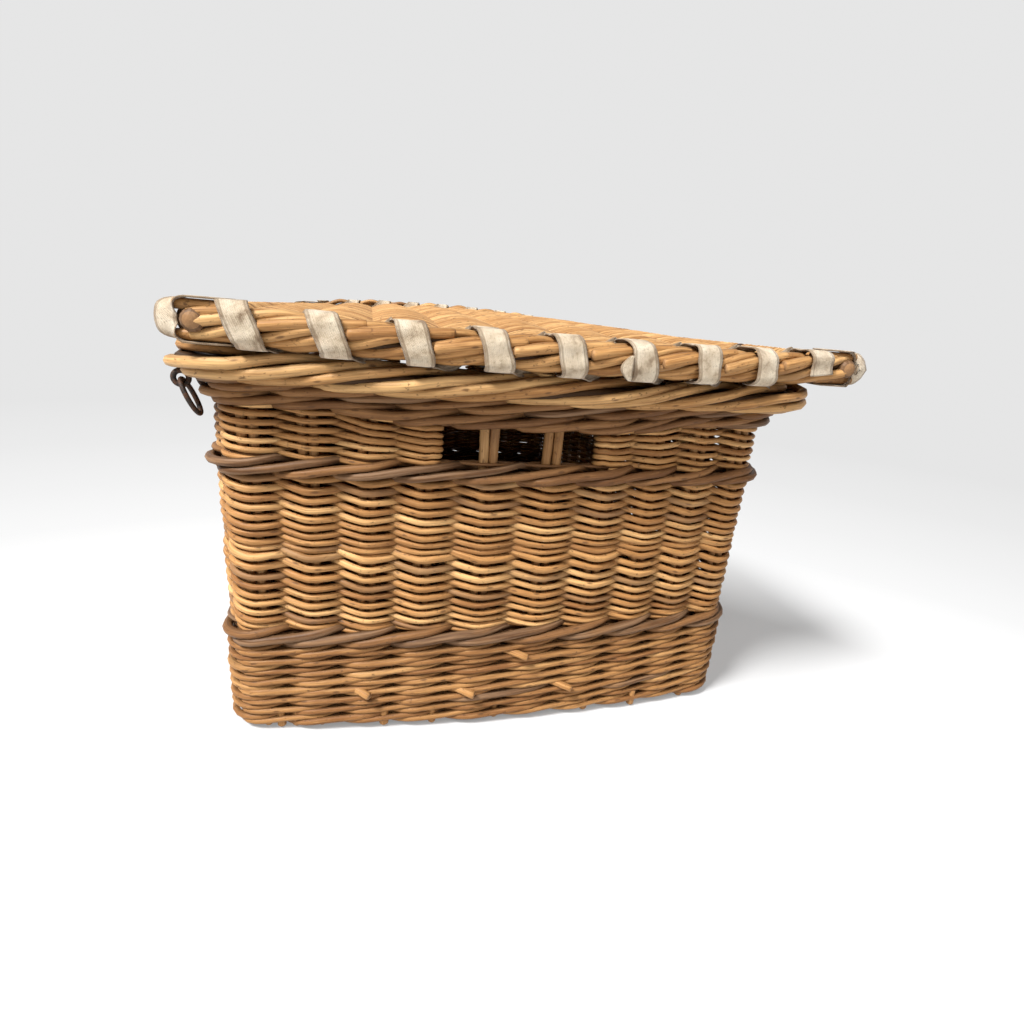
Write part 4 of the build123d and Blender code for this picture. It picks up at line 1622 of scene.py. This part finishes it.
@dataclass
class RimTape:
    """Cloth tape wound in nine turns round one rim, as one unbroken strip."""

    name: str
    end: int
    seed: int
    sizes: LidSizes = field(default_factory=LidSizes)
    width: float = 0.0195
    thick: float = 0.0013
    turns: int = 9
    depth_room: float = 0.0004
    height_room: float = 0.0002
    corner: float = 0.0088
    last_share: float = 0.27
    front_lean: float = 0.0085
    lean_at_first: float = 1.35
    lean_loss: float = 0.13
    flap_wrap: int = 5
    shade: float = 0.4

    def wind(self, finish: Material) -> Piece:
        """Winds the tape.

        Args:
            finish: Its cloth.

        Returns:
            The piece.
        """
        rng = np.random.default_rng(self.seed)
        lid = self.sizes
        bundle = Bundle()
        half_depth = lid.rim_depth / 2 + self.depth_room + self.thick
        half_height = lid.rim_height / 2 + self.height_room + self.thick
        outline_out, outline_up = self._section(half_depth, half_height)
        per_turn = len(outline_out)
        place = np.arange(per_turn * (self.turns - 1) + int(per_turn * self.last_share))
        share = (place % per_turn) / per_turn
        turn = place // per_turn
        along = self._wrap_place(turn) - self.front_lean / 2 + self._advance(turn, share)
        shift = np.interp(turn + share, np.arange(self.turns + 1), rng.normal(0, 0.0012, self.turns + 1))
        out = outline_out[place % per_turn]
        up = outline_up[place % per_turn]
        middle, _, outward = lid.rim_place(along + shift, out, up, self.end)
        angle = np.arctan2(np.gradient(up), np.gradient(out))
        lift = np.sin(angle)[:, None] * outward - np.cos(angle)[:, None] * UPWARDS
        lift = face_out(lift, outward * out[:, None] + UPWARDS * up[:, None])
        across = unit(np.cross(unit(np.gradient(middle, axis=0)), lift))
        bulge = wander(rng, place / per_turn * 4, 0.0004, 1.0)
        width = self.width * (1 + wander(rng, place / per_turn * 3, 0.05, 1.3))
        width = width * (1 + 0.3 * ease(turn + share - self.turns + 1.4))
        path = WORN.warp_lid(middle + bulge[:, None] * lift)
        bundle.strip(path, across, lift, width, self.thick, self.shade)
        if self.end > 0:
            self._flap(bundle, half_depth)
        return bundle.piece(self.name, finish, Body.LID, Slot.TAPE, self.name)

    def _wrap_place(self, turn: Points | int) -> Points | float:
        """Distance of a wrap along the rim from its middle."""
        return (turn - (self.turns - 1) / 2) * self.sizes.stick_pitch

    def _advance(self, turn: Points, share: Points) -> Points:
        """How far the tape has moved along the rim within a turn: little in front, and most of it behind.

        Args:
            turn: Turn, from 0.
            share: Share of the turn that it has gone round.

        Returns:
            The distance along the rim.
        """
        lean = self.front_lean * (self.lean_at_first - self.lean_loss * turn)
        behind = 0.94 * np.clip((share - 0.46) / 0.34, 0, 1) + 0.06 * np.clip((share - 0.80) / 0.20, 0, 1)
        return np.clip(share / 0.30, 0, 1) * lean + behind * (self.sizes.stick_pitch - lean)

    def _flap(self, bundle: Bundle, half_depth: float) -> None:
        """Adds the loose fold beside one wrap.

        Args:
            bundle: Bundle of the tape.
            half_depth: Distance of the tape's outer face from the rim's middle line.
        """
        share = np.linspace(0, 1, 12)
        swell = np.sin(pi * share)
        along = self._wrap_place(self.flap_wrap) - self.width / 2 - 0.0022 - 0.0035 * swell
        out = half_depth + 0.0012 + 0.001 * swell
        up = 0.004 - 0.0175 * share
        middle, way, outward = self.sizes.rim_place(along, out, up, self.end)
        bundle.strip(WORN.warp_lid(middle), way, outward, 0.0025 + 0.0075 * swell, self.thick, 0.6)

    def _section(self, half_depth: float, half_height: float) -> tuple[Points, Points]:
        """Rounded oblong walked from the top of its outer face, down and round, in even steps.

        Args:
            half_depth: Half its depth.
            half_height: Half its height.

        Returns:
            Distances outwards and upwards from its middle.
        """
        outs, ups = [], []
        for side, top, start in ((1, 1, 90), (1, -1, 0), (-1, -1, -90), (-1, 1, -180)):
            turn = np.radians(np.linspace(start, start - 90, 9))
            outs.append(side * (half_depth - self.corner) + self.corner * np.cos(turn))
            ups.append(top * (half_height - self.corner) + self.corner * np.sin(turn))
        out = np.append(np.concatenate(outs), outs[0][0])
        up = np.append(np.concatenate(ups), ups[0][0])
        along = np.concatenate([[0], np.cumsum(np.hypot(np.diff(out), np.diff(up)))])
        even = np.linspace(0, along[-1], 64, endpoint=False)
        return np.interp(even, along, out), np.interp(even, along, up)


@dataclass
class CornerTape:
    """Strap of the same tape over one corner of the lid."""

    name: str
    end: int
    side: int
    sizes: LidSizes = field(default_factory=LidSizes)
    width: float = 0.019
    thick: float = 0.0013
    height_room: float = 0.0002
    past_edge: float = 0.0035
    leg: float = 0.022
    point: float = 1.35
    splay: float = 58.0
    back_splay: float = 68.0

    def fold(self, finish: Material) -> Piece:
        """Folds the strap over the corner.

        Args:
            finish: Its cloth.

        Returns:
            The piece.
        """
        lid = self.sizes
        radius = lid.rim_height / 2 + self.height_room + self.thick
        turn_at = self.side * (lid.half_width + self.past_edge)
        leg = self.side * (lid.half_width - self.leg)
        turn = np.linspace(pi / 2, -pi / 2, 29)
        rounded = radius * np.cos(turn)
        pointed = self.point * radius * (1 - np.abs(np.sin(turn)) ** 1.2)
        peak = rounded if self.side < 0 else pointed
        out_run = np.linspace(leg, turn_at, 7)[:-1]
        y = np.concatenate([out_run, turn_at + self.side * peak, out_run[::-1]])
        z = np.concatenate([np.full(6, radius), radius * np.sin(turn), np.full(6, -radius)])
        n = len(y)
        flat = np.zeros(n)
        middle = np.stack([flat + self.end * lid.half_length, lid.set_back + y, lid.middle + z], 1)
        way = unit(np.gradient(middle, axis=0))
        lengthwise = np.array([1.0, 0, 0])
        centre = np.array([self.end * lid.half_length, lid.set_back + (turn_at + leg) / 2, lid.middle])
        outward = face_out(np.cross(lengthwise, way), middle - centre)
        splay = radians(self.splay if self.side < 0 else self.back_splay)
        splay = splay * ease(1.5 * (1 - np.abs(z) / radius))
        outward = np.cos(splay)[:, None] * outward + np.sin(splay)[:, None] * self.end * lengthwise
        across = unit(np.cross(way, outward))
        bundle = Bundle()
        bundle.strip(middle, across, outward, np.full(n, self.width), self.thick, 0.45)
        return bundle.piece(self.name, finish, Body.LID, Slot.TAPE, self.name)


@dataclass
class StickLoops:
    """Dark willow bound round the ends of the lid's edge sticks."""

    sizes: LidSizes = field(default_factory=LidSizes)
    radius: float = 0.0027
    press: float = 0.0002
    turns: float = 1.8
    pitch: float = 0.0070
    from_end: float = 0.0250

    def bind(self, finish: Material) -> Piece:
        """Binds the loops.

        Args:
            finish: Their willow.

        Returns:
            The piece.
        """
        lid = self.sizes
        bundle = Bundle()
        turn = np.linspace(0, 2 * pi * self.turns, 60)
        ring = lid.edge_radius + self.radius - self.press
        for end in (1, -1):
            for side in (-1, 1):
                path = np.stack(
                    [
                        end * (lid.edge_reach - self.from_end + self.pitch * turn / (2 * pi)),
                        lid.set_back + side * lid.half_width + ring * np.cos(turn),
                        lid.middle + ring * np.sin(turn),
                    ],
                    axis=1,
                )
                bundle.rod(path, self.radius, 0.9, 0.45, up=(1, 0, 0), soil_and_shadow=0.35)
        return bundle.piece("stick_end_loops", finish, Body.LID, Slot.BROWN)


# Iron


@dataclass
class FrontIron:
    """Eye of bent wire at one end of the front, with its strap, and the oval ring that hangs in it."""

    name: str
    end: int
    ring_body: Body
    place: float = 0.318
    wire: float = 0.002
    eye_radius: float = 0.005
    eye_lift: float = 0.0009
    ring_wire: float = 0.0018
    ring_half_wide: float = 0.0085
    ring_half_long: float = 0.0132
    ring_lean: float = 24.0
    pivot_height: float = 0.2821
    pivot_depth: float = -0.24306
    strap: tuple[tuple[float, float], ...] = (
        (0.004, 0.003),
        (0.007, 0.008),
        (0.010, 0.004),
        (0.013, -0.004),
        (0.022, -0.006),
    )

    def forge(self, finish: Material) -> list[Piece]:
        """Bends the eye and its ring.

        Args:
            finish: Their iron.

        Returns:
            The pieces.
        """
        x = self.end * self.place
        eye = Bundle(10)
        turn = np.linspace(radians(-40), radians(320), 40)
        y, z = self.pivot_depth, self.pivot_height + self.eye_lift
        curl = [np.full(40, x), y + self.eye_radius * np.cos(turn), z + self.eye_radius * np.sin(turn)]
        eye.rod(np.stack(curl, 1), self.wire, 0.5, up=(1, 0, 0))
        strap = np.array([[x, y + out, z + up] for out, up in self.strap])
        steps = np.linspace(0, len(strap) - 1, 33)
        smooth = np.stack([np.interp(steps, np.arange(len(strap)), strap[:, k]) for k in range(3)], 1)
        for _ in range(6):
            smooth[1:-1] = (smooth[:-2] + 2 * smooth[1:-1] + smooth[2:]) / 4
        eye.rod(smooth, self.wire, 0.5, up=(1, 0, 0))
        eye_name = f"{self.name}_front_eye"
        first = eye.piece(eye_name, finish, Body.BASKET, Slot.IRON, eye_name)
        loop = Bundle(10)
        turn = np.linspace(0, 2 * pi, 60)
        lean = radians(self.ring_lean)
        down = self.ring_half_long * (np.cos(turn) - 1)
        path = np.stack(
            [
                x + self.ring_half_wide * np.sin(turn),
                self.pivot_depth - down * sin(lean),
                self.pivot_height + down * cos(lean),
            ],
            axis=1,
        )
        loop.rod(path, self.ring_wire, 0.5, up=(0, 1, 0.2))
        ring_name = f"{self.name}_front_ring"
        second = loop.piece(ring_name, finish, self.ring_body, Slot.IRON, ring_name)
        return [first, second]


def dress_nodes(finish: Material, names: tuple[str, ...]) -> None:
    """Gives carried-over solids a finish.

    Args:
        finish: The finish.
        names: Nodes of the solids.
    """
    for name in names:
        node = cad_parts[name]
        if not node.material_slots:
            node.data.materials.append(finish)
        for slot in node.material_slots:
            slot.material = finish


# Studio


@dataclass
class Studio:
    """Floor, backdrop, lamps and camera."""

    eye: Direction = (0.7890, -0.1127, 0.3437)
    yaw: float = -0.259
    pitch: float = 0.297
    roll: float = 0.087
    focal: float = 594.96
    image: float = 1024.0
    centre: tuple[float, float] = (520.06, 499.76)
    sensor: float = 36.0
    key: float = 5.7
    key_towards: Direction = (-0.38, 0.76, -1.18)
    fill: float = 0.95
    fill_towards: Direction = (-1.0, 0.22, -1.25)
    sky: float = 0.07
    grey: float = 0.79
    floor_half: float = 30.0
    floor_drop: float = 0.0004
    floor_grey: float = 0.64

    def camera(self) -> None:
        """Places the camera where the photographer stood."""
        ahead = Vector((-cos(self.yaw) * cos(self.pitch), -sin(self.yaw) * cos(self.pitch), -sin(self.pitch)))
        right = Vector((-sin(self.yaw), cos(self.yaw), 0))
        up = right.cross(ahead)
        side = cos(self.roll) * right + sin(self.roll) * up
        top = -sin(self.roll) * right + cos(self.roll) * up
        data = bpy.data.cameras.new("Camera")
        data.sensor_width = self.sensor
        data.lens = self.focal * self.sensor / self.image
        data.shift_x = (self.image / 2 - self.centre[0]) / self.image
        data.shift_y = (self.centre[1] - self.image / 2) / self.image
        data.clip_start = 0.02
        camera = bpy.data.objects.new("Camera", data)
        turned = Matrix((side, top, -ahead)).transposed().to_4x4()
        turned.translation = Vector(self.eye)
        camera.matrix_world = turned
        bpy.context.scene.collection.objects.link(camera)
        bpy.context.scene.camera = camera

    def floor(self) -> None:
        """Lays the pale floor, which fades to grey far from the hamper."""
        mesh = bpy.data.meshes.new("Floor")
        size = self.floor_half
        corners = [(-size, -size, 0), (size, -size, 0), (size, size, 0), (-size, size, 0)]
        mesh.from_pydata(corners, [], [(0, 1, 2, 3)])
        floor = bpy.data.objects.new("Floor", mesh)
        floor.location = (0, 0, -self.floor_drop)
        bpy.context.scene.collection.objects.link(floor)
        board = Board("Pale floor")
        place = board.node("ShaderNodeTexCoord").outputs["Object"]
        foot = (self.eye[0], self.eye[1], 0.0)
        away = board.node("ShaderNodeVectorMath", {0: place, 1: foot}, operation="DISTANCE").outputs["Value"]
        board.feed(board.shader.inputs["Base Color"], (*[self.floor_grey] * 3, 1.0))
        board.feed(board.shader.inputs["Roughness"], 1.0)
        board.feed(board.shader.inputs["Specular IOR Level"], 0.0)
        glow = board.node("ShaderNodeEmission", {"Strength": 1.0})
        greys = [(0.08, 1.0), (0.18, 0.975), (0.36, 0.90), (0.60, 0.835), (1.0, self.grey)]
        fade = board.ramp(board.spread(away, 0.7, 2.2), [(stop, (grey, grey, grey)) for stop, grey in greys])
        board.feed(glow.inputs["Color"], fade)
        path = board.node("ShaderNodeLightPath").outputs
        seen = board.math(path["Is Camera Ray"], "MAXIMUM", path["Is Glossy Ray"])
        seen = board.math(seen, "MAXIMUM", path["Is Transmission Ray"])
        far = board.math(board.spread(away, 0.76, 1.02, 0.26, 1.0), "MULTIPLY", seen)
        blend = board.node("ShaderNodeMixShader", {0: far, 1: board.shader.outputs[0], 2: glow.outputs[0]})
        board.tree.links.new(blend.outputs[0], board.output.inputs[0])
        mesh.materials.append(board.material)

    def light(self) -> None:
        """Hangs a key sun to the left, a wide fill sun behind the camera and an even sky."""
        suns = (
            ("Key", self.key, 16, self.key_towards),
            ("Fill", self.fill, 30, self.fill_towards),
        )
        for name, energy, angle, towards in suns:
            data = bpy.data.lights.new(name, "SUN")
            data.energy = energy
            data.angle = radians(angle)
            sun = bpy.data.objects.new(name, data)
            sun.rotation_mode = "QUATERNION"
            sun.rotation_quaternion = Vector(towards).to_track_quat("-Z", "Y")
            bpy.context.scene.collection.objects.link(sun)
        world = bpy.data.worlds.new("Sky")
        bpy.context.scene.world = world
        world.use_nodes = True
        tree = world.node_tree
        tree.nodes.clear()
        output = tree.nodes.new("ShaderNodeOutputWorld")
        mix = tree.nodes.new("ShaderNodeMixShader")
        path = tree.nodes.new("ShaderNodeLightPath")
        plain = tree.nodes.new("ShaderNodeBackground")
        seen = tree.nodes.new("ShaderNodeBackground")
        plain.inputs["Color"].default_value = (1, 1, 1, 1)
        plain.inputs["Strength"].default_value = self.sky
        seen.inputs["Color"].default_value = (self.grey, self.grey, self.grey, 1)
        seen.inputs["Strength"].default_value = 1.0
        shown = path.outputs["Is Camera Ray"]
        for ray in ("Is Glossy Ray", "Is Transmission Ray"):
            either = tree.nodes.new("ShaderNodeMath")
            either.operation = "MAXIMUM"
            tree.links.new(shown, either.inputs[0])
            tree.links.new(path.outputs[ray], either.inputs[1])
            shown = either.outputs[0]
        tree.links.new(shown, mix.inputs[0])
        tree.links.new(plain.outputs[0], mix.inputs[1])
        tree.links.new(seen.outputs[0], mix.inputs[2])
        tree.links.new(mix.outputs[0], output.inputs[0])


def main() -> None:
    """Builds the hamper and the studio."""
    logging.basicConfig(level=logging.INFO, format="%(message)s")
    willow = WillowFinish("Buff willow").material()
    brown = WillowFinish(
        "Brown willow",
        pale=(0.52, 0.29, 0.120),
        body=(0.35, 0.170, 0.064),
        deep=(0.17, 0.074, 0.028),
    ).material()
    stick = WillowFinish(
        "Stick willow",
        pale=(0.58, 0.345, 0.150),
        body=(0.43, 0.225, 0.085),
        deep=(0.24, 0.108, 0.038),
    ).material()
    tape = TapeFinish().material()
    iron = IronFinish().material()
    wall = WallPath(WallSizes())
    Stakes().stand(wall, stick)
    Base().weave(wall, willow, stick)
    brown_wale = partial(Wale, bark=0.75, slot=Slot.BROWN)
    Wale(
        "foot_wale", bottom=0.0050, top=0.079, rows=8, radius=0.00275, seed=31,
        tilt=0.46, shade=0.68, bark=0.6, brown=0.05,
    ).weave(wall, willow)
    brown_wale(
        "lower_wale", bottom=0.0785, top=0.0945, rows=1, radius=0.0036, seed=32,
        tilt=0.44, brown=0.42,
    ).weave(wall, brown)
    RandedSiding("lower_siding", bottom=0.0930, top=0.160, levels=18, seed=33).weave(wall, willow)
    RandedSiding("middle_siding", bottom=0.160, top=0.2220, levels=18, seed=34).weave(wall, willow)
    brown_wale(
        "upper_wale", bottom=0.2200, top=0.2345, rows=1, radius=0.0034, seed=35,
        push=(0.0022, 0.0022), tilt=0.44, shade=0.78, brown=0.42,
    ).weave(wall, brown)
    TurnedSiding("upper_siding_front", first=31, last=53, seed=36).weave(wall, willow)
    TurnedSiding("upper_siding_back", first=6, last=28, seed=37).weave(wall, willow)
    brown_wale(
        "top_wale", bottom=0.2635, top=0.290, rows=2, radius=0.0034, seed=38,
        push=(0.0005, 0.0055), tilt=0.48, shade=0.74, brown=0.24,
    ).weave(wall, brown)
    RodEnds().set(wall, willow)
    RolledBorder().weave(wall, willow)
    panel = LidPanel()
    panel.sticks(stick)
    panel.weave(willow)
    for name, end in (("near", 1), ("far", -1)):
        LidRim(f"{name}_lid_rim", end, 51 + end, bulge=0.0035 if end < 0 else 0.0).lay(willow)
        RimTape(f"{name}_lid_tape", end, 61 + end).wind(tape)
        for side_name, side in (("front", -1), ("back", 1)):
            CornerTape(f"{name}_{side_name}_corner_tape", end, side).fold(tape)
    StickLoops().bind(brown)
    FrontIron("near", 1, Body.NEAR_RING).forge(iron)
    FrontIron("far", -1, Body.FAR_RING).forge(iron)
    dress_nodes(iron, ("near_hinge_loop", "middle_hinge_loop", "far_hinge_loop"))
    studio = Studio()
    studio.camera()
    studio.floor()
    studio.light()
    bpy.context.scene.view_settings.view_transform = "Standard"
    bpy.context.view_layer.update()


if __name__ == "__main__":
    main()
